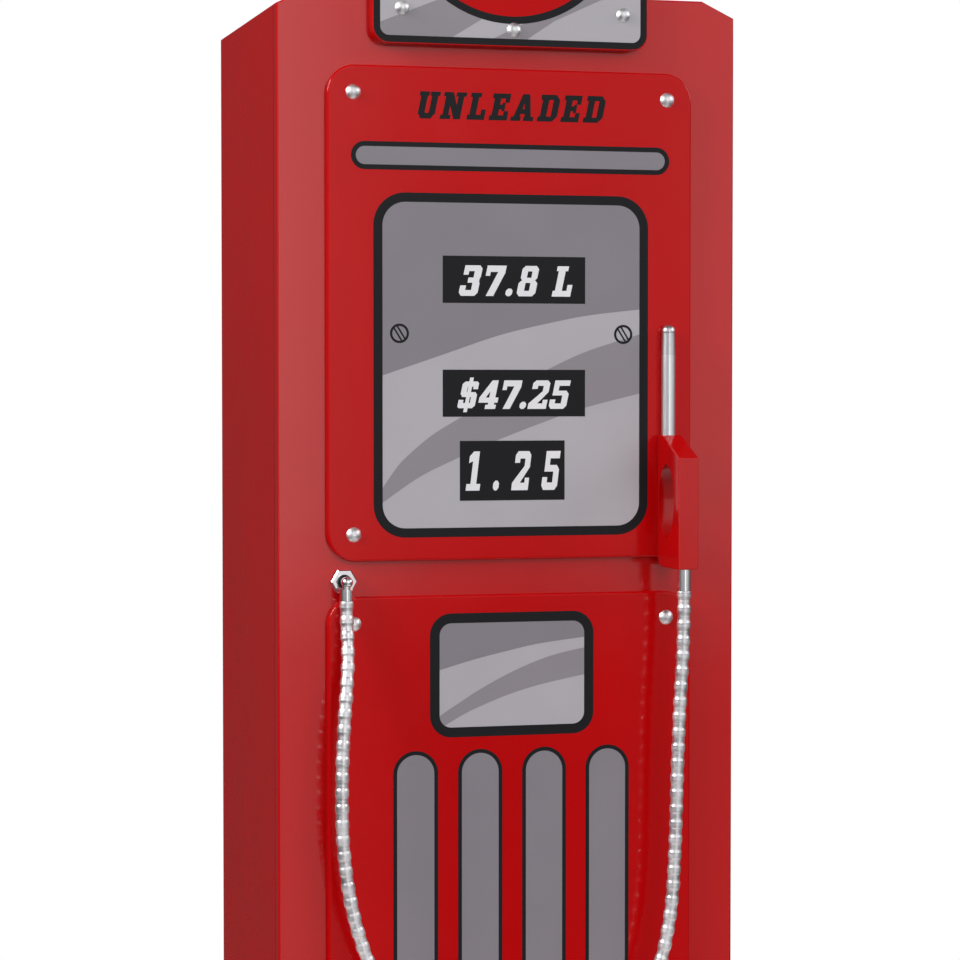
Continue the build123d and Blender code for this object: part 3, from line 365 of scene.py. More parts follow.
def print_layer(name, shapes, face_y, level, material, within=None):
    """A thin closed plate: the union of flat outlines in X and Z, cut to within, level layers thick."""
    outlines = [counter_clockwise([tuple(p) for p in s]) for s in shapes]
    if within:
        outlines.append(counter_clockwise(within))
    points = []
    faces = []
    for outline in outlines:
        faces.append(list(range(len(points), len(points) + len(outline))))
        points.extend(Vector(p) for p in outline)
    spots, _, triangles, _, _, origins = delaunay_2d_cdt(points, [], faces, 1, 1e-6)
    keep = []
    for triangle, origin in zip(triangles, origins):
        inside = {i for i in origin if not within or i < len(shapes)}
        if inside and (not within or len(shapes) in origin):
            keep.append(triangle)
    plate = bmesh.new()
    corners = [plate.verts.new((x, face_y, z)) for x, z in spots]
    for triangle in keep:
        plate.faces.new([corners[i] for i in triangle])
    bmesh.ops.delete(plate, geom=[v for v in plate.verts if not v.link_faces], context="VERTS")
    bmesh.ops.dissolve_limit(plate, angle_limit=0.001, verts=plate.verts, edges=plate.edges)
    raised = bmesh.ops.extrude_face_region(plate, geom=plate.faces[:])["geom"]
    moved = [v for v in raised if isinstance(v, bmesh.types.BMVert)]
    bmesh.ops.translate(plate, verts=moved, vec=(0, -level * LAYER, 0))
    bmesh.ops.recalc_face_normals(plate, faces=plate.faces)
    mesh = bpy.data.meshes.new(name)
    plate.to_mesh(mesh)
    plate.free()
    mesh.materials.append(material)
    piece = bpy.data.objects.new(name, mesh)
    bpy.context.scene.collection.objects.link(piece)
    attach(piece, "door")
    return piece


def rounded(low_x, low_z, high_x, high_z, radius, steps=10):
    """A rectangle with round corners."""
    outline = []
    for turn, (cx, cz) in enumerate((
            (high_x - radius, high_z - radius), (low_x + radius, high_z - radius),
            (low_x + radius, low_z + radius), (high_x - radius, low_z + radius))):
        for step in range(steps + 1):
            angle = math.pi / 2 * (turn + step / steps)
            outline.append((cx + radius * math.cos(angle), cz + radius * math.sin(angle)))
    return outline


def disc(cx, cz, radius, steps=72):
    """A round outline."""
    return [(cx + radius * math.cos(2 * math.pi * i / steps), cz + radius * math.sin(2 * math.pi * i / steps))
            for i in range(steps)]


# ---------------------------------------------------------------- display print
# A sheet of silver behind a broad black line, made to look like the glass of a counter: two grey
# bands sweep over it as reflections, and three black boxes hold the figures.


def curve_through(points, steps=10):
    """A smooth line through the points (Catmull-Rom)."""
    ends = [points[0], *points, points[-1]]
    line = []
    for p0, p1, p2, p3 in zip(ends, ends[1:], ends[2:], ends[3:]):
        for step in range(steps):
            t = step / steps
            line.append(tuple(
                0.5 * (2 * b + (c - a) * t + (2 * a - 5 * b + 4 * c - d) * t ** 2
                       + (3 * b - a - 3 * c + d) * t ** 3)
                for a, b, c, d in zip(p0, p1, p2, p3)))
    return [*line, points[-1]]


def placed(points_mm, centre):
    """Points in millimetres from a centre, as metres in the frame."""
    return [(centre[0] + x * MM, centre[1] + z * MM) for x, z in points_mm]


def middle(low, high):
    """The centre of a box in X and Z."""
    return (low.x + high.x) / 2, (low.z + high.z) / 2


# Each letter's advance and its strokes, on a grid ten high: (x0, z0, x1, z1) is an upright box.
GLYPHS = {
    "U": (8.1, [(0.9, 1.6, 3.4, 10), (5.0, 1.6, 7.4, 10), (0.2, 8.4, 4.0, 10), (4.4, 8.4, 8.1, 10),
                [(0.9, 2.2), (2.2, 0), (6.1, 0), (7.4, 2.2), (7.4, 3.5), (5, 3.5), (5, 2.4), (4.6, 2.1),
                 (3.8, 2.1), (3.4, 2.4), (3.4, 3.5), (0.9, 3.5)]]),
    "N": (8.8, [(0.9, 0, 3.2, 10), (5.6, 0, 7.9, 10), [(0.9, 10), (3.6, 10), (7.9, 0), (5.4, 0)],
                (0.1, 8.4, 3.4, 10), (0.1, 0, 4.1, 1.6), (4.8, 8.4, 8.7, 10)]),
    "L": (7.2, [(1, 0, 3.5, 10), (0.2, 8.4, 4.4, 10), (0.2, 0, 7, 1.9), (5.2, 0, 7, 3.9)]),
    "E": (7.4, [(1, 0, 3.5, 10), (0.2, 8.1, 7, 10), (5.3, 6.6, 7, 10), (0.2, 0, 7.2, 1.9),
                (5.4, 0, 7.2, 3.5), (3, 4.1, 5, 5.9), (4.4, 3.4, 5.6, 6.6)]),
    "A": (8.6, [[(0.4, 0), (2.9, 0), (4.9, 10), (2.9, 10)], [(7.9, 0), (5.3, 0), (3.6, 10), (5.6, 10)],
                (2.2, 2.6, 6.2, 4.4), (-0.2, 0, 3.7, 1.6), (4.7, 0, 8.6, 1.6), (2.9, 8.4, 5.6, 10)]),
    "D": (7.8, [(1, 0, 3.5, 10), (0.2, 8.1, 5.6, 10), (0.2, 0, 5.6, 1.9),
                [(5.2, 0), (6, 0), (7.7, 1.9), (7.7, 8.1), (6, 10), (5.2, 10)]]),
    "3": (7.4, [(0.8, 8.1, 6, 10), (0.8, 6.9, 2.6, 10),
                [(4.6, 5.4), (6.6, 5.4), (7.2, 6.2), (7.2, 9), (6.2, 10), (4.6, 10)], (2.8, 4.3, 6.2, 6),
                [(4.6, 0), (6.2, 0), (7.2, 1.1), (7.2, 4.2), (6.6, 5), (4.6, 5)], (5, 4.6, 6.9, 5.8),
                [(0.4, 1.1), (1.3, 0), (6.2, 0), (6.2, 1.9), (0.4, 1.9)], (0.4, 1, 2.5, 3.4)]),
    "7": (7.4, [(0.3, 7.9, 7.2, 10), (0.3, 6.6, 1.9, 10),
                [(7.2, 8.6), (7.2, 7.6), (4.5, 0), (1.8, 0), (4.6, 8)]]),
    "8": (7.4, [[(0.7, 6), (1.3, 5.3), (2.9, 5.3), (2.9, 10), (1.7, 10), (0.7, 9)],
                [(6.7, 6), (6.1, 5.3), (4.5, 5.3), (4.5, 10), (5.7, 10), (6.7, 9)],
                [(0.3, 1.1), (1.3, 0), (2.8, 0), (2.8, 5.2), (1.2, 5.2), (0.3, 4.3)],
                [(7.1, 1.1), (6.1, 0), (4.6, 0), (4.6, 5.2), (6.2, 5.2), (7.1, 4.3)],
                (1.7, 8.2, 5.7, 10), (1.5, 4.4, 5.9, 6.1), (1.3, 0, 6.1, 1.8)]),
    "4": (7.6, [[(0.2, 4), (3.9, 10), (6.2, 10), (2.6, 4)], (0.2, 2.2, 7.4, 4), (3.9, 0, 6.2, 10),
                (3, 0, 7, 1.5)]),
    "2": (7.4, [[(0.5, 7), (0.5, 9), (1.5, 10), (6, 10), (7, 9), (7, 8.1), (2.6, 8.1), (2.6, 7)],
                [(4.7, 8.3), (7, 8.3), (7, 6), (5.9, 4.7), (4, 5.2), (4.7, 6)],
                [(6.9, 5.8), (4.9, 6.4), (0.2, 1.9), (0.2, 0.4), (2.2, 0.4)], (0.2, 0, 7.2, 1.9),
                (5.4, 0, 7.2, 3.2)]),
    "5": (7.3, [(0.9, 8.1, 6.8, 10), (0.9, 5, 2.9, 10),
                [(0.9, 4.7), (0.9, 6.4), (5.9, 6.4), (7, 5.3), (7, 4.7)],
                [(4.7, 0), (6, 0), (7, 1.1), (7, 5.4), (4.7, 5.4)],
                [(0.3, 1.1), (1.2, 0), (6, 0), (6, 1.9), (0.3, 1.9)], (0.3, 1, 2.4, 3.3)]),
    "1": (6.2, [(1.9, 0, 4.3, 10), [(0.3, 8.8), (0.3, 7), (2.2, 7.6), (2.2, 10), (1.9, 10)],
                (0.2, 0, 6, 1.7)]),
    "$": (7.4, [[(0.7, 8.7), (1.6, 9.6), (6.2, 9.6), (6.8, 8.9), (6.8, 7.8), (0.7, 7.8)], (5, 6.9, 6.8, 9),
                (0.7, 5, 2.8, 8.7), [(0.7, 5.6), (1.4, 4.2), (6, 4.2), (6.8, 4.9), (6.2, 5.9), (0.9, 5.9)],
                (4.8, 1, 6.9, 5.2),
                [(0.4, 1.8), (0.4, 0.8), (1, 0.3), (6, 0.3), (6.9, 1.2), (6.9, 2.1), (0.4, 2.1)],
                (0.4, 0.8, 2.2, 3.2), (3, -1.1, 4.4, 11)]),
    ".": (2.8, [[(0.9, 0), (1.9, 0), (2.6, 0.7), (2.6, 1.8), (1.9, 2.5), (0.9, 2.5), (0.2, 1.8),
                 (0.2, 0.7)]]),
    " ": (3.4, []),
}


def lettering(text, height, stretch, left, right, base_z, slant_deg):
    """Slab letters drawn on a grid ten high, stretched sideways, slanted, and spaced from left to right."""
    unit = height / 10
    lean = math.tan(math.radians(slant_deg))

    def spaced(gap):
        shapes = []
        start = 0.0
        for letter in text:
            advance, strokes = GLYPHS[letter]
            for stroke in strokes:
                if isinstance(stroke, tuple):
                    x0, z0, x1, z1 = stroke
                    stroke = [(x0, z0), (x1, z0), (x1, z1), (x0, z1)]
                shapes.append([
                    (start + (x * stretch + z * lean) * unit, base_z + z * unit) for x, z in stroke])
            start += advance * stretch * unit + gap
        ends = [x for shape in shapes for x, _ in shape]
        return shapes, min(ends), max(ends)

    _, low, high = spaced(0.0)
    shapes, low, _ = spaced((right - left - high + low) / (len(text) - 1))
    return [[(x - low + left, z) for x, z in shape] for shape in shapes]


PANEL_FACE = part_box("upper_panel")[0].y
DISPLAY_CORNER = 37 * MM
DISPLAY_LINE = 10.5 * MM
display_low, display_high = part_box("display_film")
display_at = middle(display_low, display_high)
display_frame = print_layer(
    "display_line", [rounded(display_low.x, display_low.z, display_high.x, display_high.z, DISPLAY_CORNER)],
    PANEL_FACE, 1, ink_black)
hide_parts("display_film")
display_glass = rounded(
    display_low.x + DISPLAY_LINE, display_low.z + DISPLAY_LINE, display_high.x - DISPLAY_LINE,
    display_high.z - DISPLAY_LINE, DISPLAY_CORNER - DISPLAY_LINE)
print_layer("display_silver", [display_glass], PANEL_FACE, 2, ink_silver)
upper_sweep = curve_through([(-160, -14), (-82.1, 12.1), (-12.9, 35.1), (57.1, 51.3), (99.5, 58.8),
                             (160, 65.5)])
lower_top = curve_through([(-158, -147), (-137, -117), (-123.3, -102.3), (-95.9, -79.8), (-62.8, -59.9),
                           (-10, -31), (43.1, -3.7), (85.4, 15.3), (128.0, 29.0), (160, 38.5)])
lower_foot = curve_through([(-158, -159), (-109.7, -126.4), (-65.6, -105.4), (-18.4, -85), (48.8, -60.3),
                            (88.3, -47.5), (160, -30)])
print_layer("display_sky", [placed([*upper_sweep, (160, 200), (-160, 200)], display_at)],
            PANEL_FACE, 3, ink_grey, display_glass)
print_layer("display_sweep", [placed([*lower_top, *lower_foot[::-1]], display_at)],
            PANEL_FACE, 3, ink_pale, display_glass)
print_layer("display_boxes", [placed(corners, display_at) for corners in (
    [(-82, 70.7), (86.4, 70.7), (86.4, 124), (-82, 124)],
    [(-82, -58), (86.4, -58), (86.4, -4.7), (-82, -4.7)],
    [(-62, -153.3), (62, -153.3), (62, -85.4), (-62, -85.4)])], PANEL_FACE, 4, ink_black)
# Each line of figures: name, text, height, stretch, left and right ends and foot from the
# middle of the display in mm, and slant in degrees.
for name, text, height, stretch, left, right, foot, slant in (
        ("litres", "37.8 L", 34.6, 0.94, -63.3, 71.2, 78.8, 12),
        ("dollars", "$47.25", 32.5, 0.96, -65.0, 69.4, -49.3, 12),
        ("price", "1.25", 44.5, 0.63, -55.3, 57.3, -141.9, 7)):
    print_layer("display_" + name, lettering(
        text, height * MM, stretch, display_at[0] + left * MM, display_at[0] + right * MM,
        display_at[1] + foot * MM, slant), PANEL_FACE, 5, ink_white)

# The two slotted screws that hold the counter's glass are only printed: a ring and a double line.
RING = 11 * MM
RING_LINE = 2.7 * MM
SLOT_HALF = 2.2 * MM
SLOT_LINE = 1.9 * MM
for side in (-1, 1):
    screw_at = (display_at[0] + side * 132.2 * MM, display_at[1] + 36 * MM)
    rim = disc(*screw_at, RING)
    hole = disc(*screw_at, RING - RING_LINE)
    bands = []
    for step in range(len(rim)):
        after = (step + 1) % len(rim)
        bands.append([rim[step], rim[after], hole[after], hole[step]])
    tilt = math.radians(-58)
    along = (math.cos(tilt), math.sin(tilt))
    across = (-along[1], along[0])
    for offset in (-SLOT_HALF, SLOT_HALF):
        reach = math.sqrt((RING - RING_LINE / 2) ** 2 - offset ** 2)
        bands.append([
            (screw_at[0] + along[0] * a + across[0] * (offset + c),
             screw_at[1] + along[1] * a + across[1] * (offset + c))
            for a, c in ((-reach, -SLOT_LINE / 2), (reach, -SLOT_LINE / 2), (reach, SLOT_LINE / 2),
                         (-reach, SLOT_LINE / 2))])
    print_layer("display_screw_" + ("left" if side < 0 else "right"), bands, PANEL_FACE, 4, ink_black)

# ---------------------------------------------------------------- title and bar
# The grade of the fuel is printed straight on the panel in black, over a long grey bar with a
# black line round it.
title_width = 222 * MM
title_low_z = display_high.z + 83.3 * MM
title_height = 30.5 * MM
print_layer("title_lettering", lettering(
    "UNLEADED", title_height, 1.0, display_at[0] - title_width / 2, display_at[0] + title_width / 2,
    title_low_z, 12), PANEL_FACE, 1, ink_black)
bar_low, bar_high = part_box("title_bar_film")
bar_line = 5.6 * MM
bar_radius = (bar_high.z - bar_low.z) / 2
# A fully round end takes a radius a hair under the half height, so that no two corners coincide.
HAIR = 1e-6
bar_outline = rounded(bar_low.x, bar_low.z, bar_high.x, bar_high.z, bar_radius - HAIR)
bar_edge = print_layer("title_bar_line", [bar_outline], PANEL_FACE, 1, ink_black)
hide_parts("title_bar_film")
print_layer("title_bar_grey", [rounded(
    bar_low.x + bar_line, bar_low.z + bar_line, bar_high.x - bar_line, bar_high.z - bar_line,
    bar_radius - bar_line - 1e-6)], PANEL_FACE, 2, ink_grey)

# ---------------------------------------------------------------- window and louvres on the lower panel
# The same silver and greys in a small window, and four tall louvres in flat grey, each with a
# black line round it.
LOWER_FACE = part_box("lower_panel")[0].y
window_low, window_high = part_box("window_film")
window_at = middle(window_low, window_high)
window_line = 11.3 * MM
window_corner = 25 * MM
window_edge = print_layer("window_line", [rounded(
    window_low.x, window_low.z, window_high.x, window_high.z, window_corner)], LOWER_FACE, 1, ink_black)
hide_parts("window_film")
window_glass = rounded(
    window_low.x + window_line, window_low.z + window_line, window_high.x - window_line,
    window_high.z - window_line, window_corner - window_line)
print_layer("window_silver", [window_glass], LOWER_FACE, 2, ink_silver)
window_upper = curve_through([(-95, 3.6), (-47.9, 16.8), (-4.6, 26.7), (33.6, 34.2), (95, 41.5)])
window_top = curve_through([(-95, -52), (-81.7, -43.2), (-61.5, -30.7), (-34.4, -14.5), (6.3, 5.4),
                            (47.4, 20.1), (95, 30)])
window_foot = curve_through([(-88, -62), (-72.2, -52.7), (-48.0, -40.3), (-7.3, -24.5), (33.7, -13.0),
                             (95, -1)])
print_layer("window_sky", [placed([*window_upper, (95, 90), (-95, 90)], window_at)],
            LOWER_FACE, 3, ink_grey, window_glass)
print_layer("window_sweep", [placed([*window_top, *window_foot[::-1]], window_at)],
            LOWER_FACE, 3, ink_pale, window_glass)

vent_low, vent_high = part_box("vent_films")
vent_half = 26.2 * MM
vent_line = 4.5 * MM
vent_pitch = (vent_high.x - vent_low.x - 2 * vent_half) / 3
louvre_lines = []
louvre_fills = []
for column in range(4):
    left = vent_low.x + column * vent_pitch
    right = left + 2 * vent_half
    louvre_lines.append(rounded(left, vent_low.z, right, vent_high.z, vent_half - HAIR))
    louvre_fills.append(rounded(left + vent_line, vent_low.z + vent_line, right - vent_line,
                                vent_high.z - vent_line, vent_half - vent_line - HAIR))
louvre_edge = print_layer("louvre_lines", louvre_lines, LOWER_FACE, 1, ink_black)
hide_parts("vent_films")
print_layer("louvre_grey", louvre_fills, LOWER_FACE, 2, ink_grey)

# ---------------------------------------------------------------- sign print
# The head of the pump: a black line round silver with grey sweeps, and a red disc in a black
# ring, with a plain white fuel drop.
SIGN_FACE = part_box("sign_board")[0].y
sign_low, sign_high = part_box("sign_film")
sign_corner = 17.5 * MM
sign_line = 7.7 * MM
sign_half = (sign_high.x - sign_low.x) / 2
sign_centre = (sign_low.x + sign_half, sign_high.z - sign_half)


def arched(half, foot_z, corner):
    """The outline of the sign: square below with round corners, and a half circle above."""
    outline = [(sign_centre[0] + half * math.cos(math.pi * i / 48),
                sign_centre[1] + half * math.sin(math.pi * i / 48)) for i in range(49)]
    for turn, cx in ((math.pi, sign_centre[0] - half + corner),
                     (1.5 * math.pi, sign_centre[0] + half - corner)):
        outline += [(cx + corner * math.cos(turn + math.pi / 2 * i / 10),
                     foot_z + corner + corner * math.sin(turn + math.pi / 2 * i / 10)) for i in range(11)]
    return outline


sign_edge = print_layer("sign_line", [arched(sign_half, sign_low.z, sign_corner)], SIGN_FACE, 1, ink_black)
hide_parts("sign_film")
sign_glass = arched(sign_half - sign_line, sign_low.z + sign_line, sign_corner - sign_line)
print_layer("sign_silver", [sign_glass], SIGN_FACE, 2, ink_silver)
sign_foot_at = (sign_centre[0] + 2.5 * MM, cad_high.z - 280.8 * MM)
sign_sweeps = [
    [(-170, -26), (-154.4, -19), (-90.5, 6.6), (-20, 34), (30, 48), (60, 30), (0, 10), (-41.5, -15.3),
     (-80, -39), (-90, -50), (-170, -50)],
    [(-37, -42), (-25.9, -35.1), (20, -12), (80, 22), (160, 60), (175, 40), (103, 13.3),
     (47.5, -12.4), (15.5, -33.9), (3, -42)],
]
print_layer("sign_sweeps", [placed(points, sign_foot_at) for points in sign_sweeps],
            SIGN_FACE, 3, ink_pale, sign_glass)
ring_radius = 136 * MM
ring_line = 8.4 * MM
print_layer("sign_ring", [disc(*sign_centre, ring_radius, 128)], SIGN_FACE, 4, ink_black)
print_layer("sign_disc", [disc(*sign_centre, ring_radius - ring_line, 128)], SIGN_FACE, 5, ink_red)
drop_radius = 46 * MM
drop_at = (sign_centre[0], sign_centre[1] - 22 * MM)
drop_tip = sign_centre[1] + 84 * MM
drop = [(drop_at[0] + drop_radius * math.cos(a), drop_at[1] + drop_radius * math.sin(a))
        for a in (math.radians(180 + 360 * i / 72) for i in range(37))]
rise = curve_through([
    (drop_at[0] + drop_radius, drop_at[1]),
    (drop_at[0] + drop_radius * 0.86, drop_at[1] + drop_radius * 0.62),
    (drop_at[0] + drop_radius * 0.42, drop_at[1] + drop_radius * 1.35), (drop_at[0], drop_tip)])
drop += rise[1:] + [(2 * drop_at[0] - x, z) for x, z in rise[-2:0:-1]]
print_layer("sign_drop", [drop], SIGN_FACE, 5.4, ink_white)

# ---------------------------------------------------------------- painted shade ring under the elbow
# A black ring between the hex nut and the elbow is painted shade. It stands for the dark recess round the
# elbow's stub in the nut's bore.
nut_low, nut_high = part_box("outlet_nut")
# Size of the painted shade ring: its radius, the thickness of its round section, and how far it stands out
# from the nut.
SHADE_RING_RADIUS = 6.9 * MM
SHADE_RING_THICKNESS = 1.1 * MM
SHADE_RING_PROUD = 0.3 * MM
shade_ring_bm = bmesh.new()
shade_ring_rows = []
for i in range(48):
    turn = 2 * math.pi * i / 48
    shade_ring_rows.append([shade_ring_bm.verts.new((
        (nut_low.x + nut_high.x) / 2 + (SHADE_RING_RADIUS + SHADE_RING_THICKNESS * math.cos(roll)) * math.cos(turn),
        nut_low.y - SHADE_RING_PROUD - SHADE_RING_THICKNESS * math.sin(roll),
        (nut_low.z + nut_high.z) / 2 + (SHADE_RING_RADIUS + SHADE_RING_THICKNESS * math.cos(roll)) * math.sin(turn)))
        for roll in (2 * math.pi * k / 16 for k in range(16))])
for row, after in zip(shade_ring_rows, shade_ring_rows[1:] + shade_ring_rows[:1]):
    for k in range(16):
        shade_ring_bm.faces.new((row[k], row[(k + 1) % 16], after[(k + 1) % 16], after[k])).smooth = True
bmesh.ops.recalc_face_normals(shade_ring_bm, faces=shade_ring_bm.faces)
shade_ring_mesh = bpy.data.meshes.new("outlet_shade_ring")
shade_ring_bm.to_mesh(shade_ring_mesh)
shade_ring_bm.free()
# The ring's black is painted shade for the recess round the stub, not a rubber part.
shade_ring_mesh.materials.append(shaded("black painted shade ring", moulded("#141414", 0.55)))
shade_ring = bpy.data.objects.new("outlet_shade_ring", shade_ring_mesh)
bpy.context.scene.collection.objects.link(shade_ring)
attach(shade_ring, "door")

# ---------------------------------------------------------------- hose
# 1.3 m of flexible tube of chromed steel strip, wound and rolled into ribs, from the elbow at the
# left of the door round to the foot of the nozzle.
HOSE_POINTS = (
    (-0.1965, -0.1605, 0.7040), (-0.1965, -0.1605, 0.6840), (-0.1960, -0.1680, 0.6480),
    (-0.2008, -0.1810, 0.6070), (-0.2063, -0.1880, 0.5550), (-0.2089, -0.1905, 0.4900),
    (-0.2075, -0.1910, 0.4250), (-0.1965, -0.1920, 0.3520), (-0.1725, -0.1925, 0.2830),
    (-0.1240, -0.1935, 0.2160), (-0.0600, -0.1945, 0.1680), (0.0100, -0.1955, 0.1505),
    (0.0760, -0.1970, 0.1670), (0.1274, -0.1985, 0.2130), (0.1586, -0.2002, 0.2720),
    (0.1740, -0.2020, 0.3430), (0.1776, -0.2040, 0.4260), (0.1790, -0.2060, 0.5110),
    (0.1816, -0.2071, 0.5910), (0.1860, -0.2075, 0.6590), (0.1860, -0.2075, 0.7115))
HOSE_RADIUS = 7.0 * MM
RIB_PITCH = 3.5 * MM
COLLAR_PITCH = 17.5 * MM
RIB_DEPTH = 0.06 * MM
NECK_DEPTH = 0.1 * MM
COLLAR_RISE = 0.8 * MM


def route_line(name, points):
    """The points that a smooth spline of that route runs through."""
    curve = bpy.data.curves.new(name, "CURVE")
    curve.dimensions = "3D"
    curve.resolution_u = 40
    spline = curve.splines.new("NURBS")
    spline.points.add(len(points) - 1)
    for spot, point in zip(spline.points, points):
        spot.co = (*point, 1.0)
    spline.order_u = 3
    spline.use_endpoint_u = True
    holder = bpy.data.objects.new(name, curve)
    bpy.context.scene.collection.objects.link(holder)
    line = bpy.data.meshes.new_from_object(holder)
    found = [v.co.copy() for v in line.vertices]
    bpy.data.objects.remove(holder)
    bpy.data.meshes.remove(line)
    return found


def evenly(line, step):
    """The line walked in equal steps."""
    lengths = [0.0]
    for a, b in zip(line, line[1:]):
        lengths.append(lengths[-1] + (b - a).length)
    count = round(lengths[-1] / step)
    walked = []
    at = 0
    for i in range(count + 1):
        wanted = lengths[-1] * i / count
        while at < len(line) - 2 and lengths[at + 1] < wanted:
            at += 1
        share = (wanted - lengths[at]) / (lengths[at + 1] - lengths[at])
        walked.append(line[at].lerp(line[at + 1], share))
    return walked, lengths[-1]


hose_path = route_line("hose_route", HOSE_POINTS)
hose_walk, hose_length = evenly(hose_path, RIB_PITCH / 6)
hose_bm = bmesh.new()
SECTORS = 28
side_axis = Vector((1, 0, 0))
rings = []
for i, spot in enumerate(hose_walk):
    ahead = hose_walk[min(i + 1, len(hose_walk) - 1)] - hose_walk[max(i - 1, 0)]
    ahead.normalize()
    side_axis = (side_axis - ahead * side_axis.dot(ahead)).normalized()
    up_axis = ahead.cross(side_axis)
    run = hose_length * i / (len(hose_walk) - 1)
    rib = 0.5 + 0.5 * math.cos(2 * math.pi * run / RIB_PITCH)
    collar = min(1.0, max(0.0, 0.5 + 1.0 * math.sin(2 * math.pi * run / COLLAR_PITCH)))
    radius = HOSE_RADIUS - NECK_DEPTH * (1 - collar) + COLLAR_RISE * collar - RIB_DEPTH * (1 - rib)
    rings.append([hose_bm.verts.new(spot + (side_axis * math.cos(a) + up_axis * math.sin(a)) * radius)
                  for a in (2 * math.pi * k / SECTORS for k in range(SECTORS))])
for ring, after in zip(rings, rings[1:]):
    for k in range(SECTORS):
        n = (k + 1) % SECTORS
        hose_bm.faces.new((ring[k], ring[n], after[n], after[k])).smooth = True
hose_bm.faces.new(rings[0][::-1])
hose_bm.faces.new(rings[-1])
bmesh.ops.recalc_face_normals(hose_bm, faces=hose_bm.faces)
hose_mesh = bpy.data.meshes.new("hose_tube")
hose_bm.to_mesh(hose_mesh)
hose_bm.free()
hose_chrome = shaded("chromed ribbed steel strip", plated("#F8F6F8", "#E6E4E8", 0.42, 12, 0.03))
hose_mesh.materials.append(hose_chrome)
hose = bpy.data.objects.new("hose_tube", hose_mesh)
bpy.context.scene.collection.objects.link(hose)
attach(hose, "door")
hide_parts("hose")

# ---------------------------------------------------------------- studio and camera
# A pale floor that fades into white light at its rim, in a dim room with two tall soft windows in
# front for the lacquer to mirror.  Soft boxes light the front, the sides and the back, and only
# the two at the sides show in the gloss.
FLOOR_SOLID = 0.45
FLOOR_RIM = 1.15
FLOOR_RADIUS = FLOOR_RIM + 0.1


def studio_floor(tree, place):
    mottle = add_node(tree, "ShaderNodeTexNoise", {"Vector": place, "Scale": per_metre(400), "Detail": 2.0})
    colour = add_node(tree, "ShaderNodeMix", {
        "Factor": mottle.outputs["Fac"], "A": linear("#E9E9E7"), "B": linear("#EFEFED")}, data_type="RGBA")
    card = add_node(tree, "ShaderNodeBsdfPrincipled", {
        "Base Color": colour.outputs["Result"], "Roughness": 0.8, "Specular IOR Level": 0.2})
    away = add_node(tree, "ShaderNodeVectorMath", {0: place}, operation="LENGTH")
    fade = add_node(tree, "ShaderNodeMapRange", {
        "Value": away.outputs["Value"], "From Min": FLOOR_SOLID, "From Max": FLOOR_RIM},
        interpolation_type="SMOOTHSTEP")
    clear = add_node(tree, "ShaderNodeBsdfTransparent")
    return add_node(tree, "ShaderNodeMixShader", {
        0: fade.outputs["Result"], 1: card.outputs[0], 2: clear.outputs[0]})


floor_bm = bmesh.new()
bmesh.ops.create_circle(floor_bm, cap_ends=True, segments=96, radius=FLOOR_RADIUS)
floor_mesh = bpy.data.meshes.new("studio_floor")
floor_bm.to_mesh(floor_mesh)
floor_bm.free()
floor_mesh.materials.append(shaded("matt white studio floor", studio_floor))
floor = bpy.data.objects.new("studio_floor", floor_mesh)
bpy.context.scene.collection.objects.link(floor)

ROOM_FRONT = 0.5
ROOM_BACK = 0.06
WINDOW_HALF = 0.10
WINDOW_EDGE = 0.10
world = bpy.data.worlds.new("studio light")
world.use_nodes = True
sky = world.node_tree
sky.nodes.clear()
seen = add_node(sky, "ShaderNodeLightPath").outputs["Is Camera Ray"]
white = add_node(sky, "ShaderNodeBackground", {"Color": (1.0, 1.0, 1.0, 1.0), "Strength": 1.0})
aim = add_node(sky, "ShaderNodeSeparateXYZ", {
    "Vector": add_node(sky, "ShaderNodeTexCoord").outputs["Generated"]}).outputs


def faded(value, start, end, at_start, at_end):
    """A smooth change of brightness while a part of the direction goes from start to end."""
    return add_node(sky, "ShaderNodeMapRange", {
        "Value": value, "From Min": start, "From Max": end, "To Min": at_start, "To Max": at_end},
        interpolation_type="SMOOTHSTEP").outputs["Result"]


def combined(operation, first, second):
    """Two brightnesses put together."""
    return add_node(sky, "ShaderNodeMath", {0: first, 1: second}, operation=operation).outputs[0]


def window(middle_x, brightness):
    """A tall soft-edged window in front, at that sideways part of the direction."""
    aside = combined("ABSOLUTE", combined("SUBTRACT", aim["X"], middle_x), 0.0)
    return faded(aside, WINDOW_HALF, WINDOW_HALF + WINDOW_EDGE, brightness, 0.0)


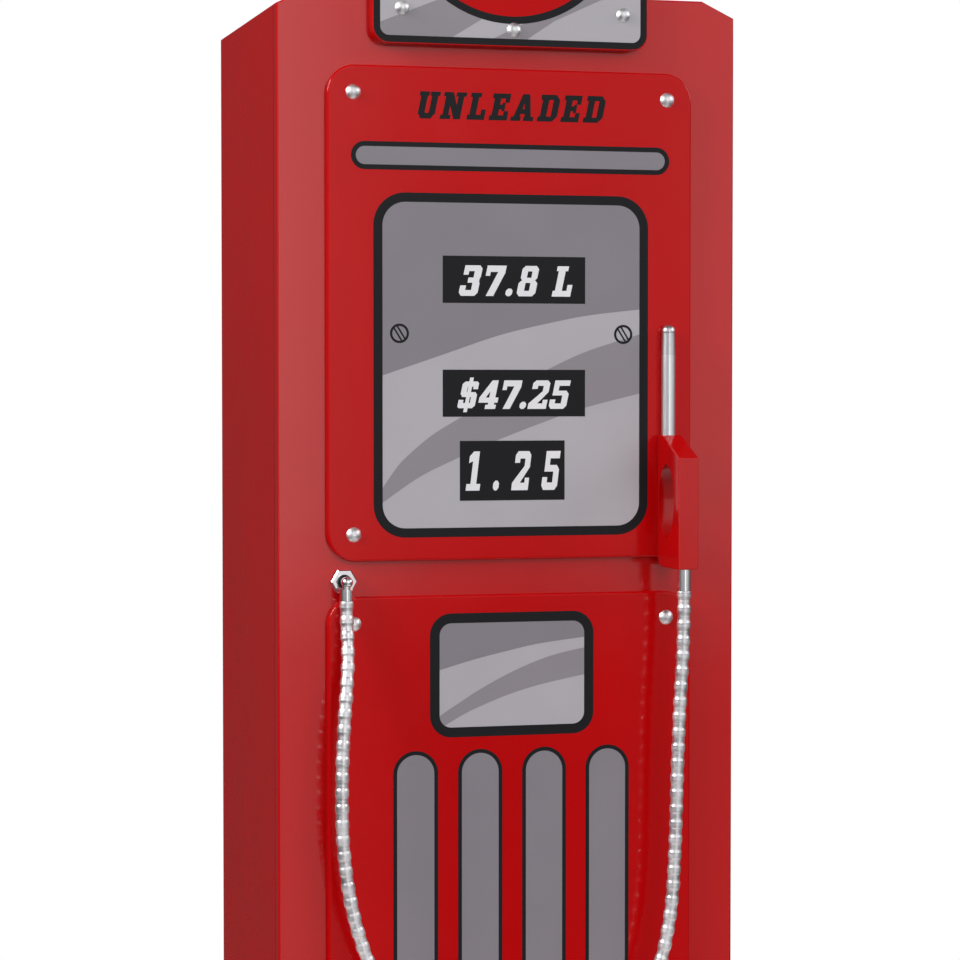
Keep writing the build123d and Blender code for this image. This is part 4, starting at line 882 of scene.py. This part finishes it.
panes = combined("ADD", window(0.06, 1.15), window(0.47, 0.45))
panes = combined("MULTIPLY", panes, faded(aim["Z"], -0.11, -0.035, 0.6, 1.0))
room = combined("ADD", panes, faded(aim["Z"], -0.11, -0.035, 0.06, ROOM_FRONT))
room = combined("MULTIPLY", room, faded(aim["Y"], -0.75, 0.3, 1.0, 0.0))
room = combined("MULTIPLY", room, faded(aim["Z"], 0.45, 0.9, 1.0, 0.2))
room = combined("ADD", room, ROOM_BACK)
dusk = add_node(sky, "ShaderNodeBackground", {"Color": (1.0, 1.0, 1.0, 1.0), "Strength": room})
both = add_node(sky, "ShaderNodeMixShader", {0: seen, 1: dusk.outputs[0], 2: white.outputs[0]})
add_node(sky, "ShaderNodeOutputWorld", {"Surface": both.outputs[0]})
bpy.context.scene.world = world


def softbox(name, at, width, height, brightness, mirrored):
    """A flat diffuser of that size and brightness, turned towards the door, mirrored by gloss or not."""
    lamp = bpy.data.lights.new(name, "AREA")
    lamp.shape = "RECTANGLE"
    lamp.size = width
    lamp.size_y = height
    lamp.energy = brightness * math.pi * width * height
    holder = bpy.data.objects.new(name, lamp)
    holder.location = at
    holder.rotation_euler = (Vector((0.0, 0.0, 0.9)) - Vector(at)).to_track_quat("-Z", "Y").to_euler()
    holder.visible_camera = False
    holder.visible_glossy = mirrored
    bpy.context.scene.collection.objects.link(holder)


softbox("front", (0.3, -3.0, 2.0), 2.2, 1.8, 2.45, False)
softbox("left_high", (-3.0, -0.6, 2.6), 1.8, 1.4, 13.5, True)
softbox("right_high", (3.0, -1.2, 2.4), 1.4, 1.4, 4.0, True)
softbox("rear_right", (2.4, 2.6, 2.4), 1.8, 1.4, 7.0, False)

lens = bpy.data.cameras.new("camera")
lens.lens = 105.64
lens.sensor_width = 36.0
lens.clip_end = 50.0
camera = bpy.data.objects.new("camera", lens)
camera.location = (-0.8748, -3.2339, 0.9457)
camera.rotation_euler = (math.radians(90 - 1.930), 0.0, math.radians(-15.165))
bpy.context.scene.collection.objects.link(camera)
bpy.context.scene.camera = camera
bpy.context.scene.view_settings.view_transform = "Standard"
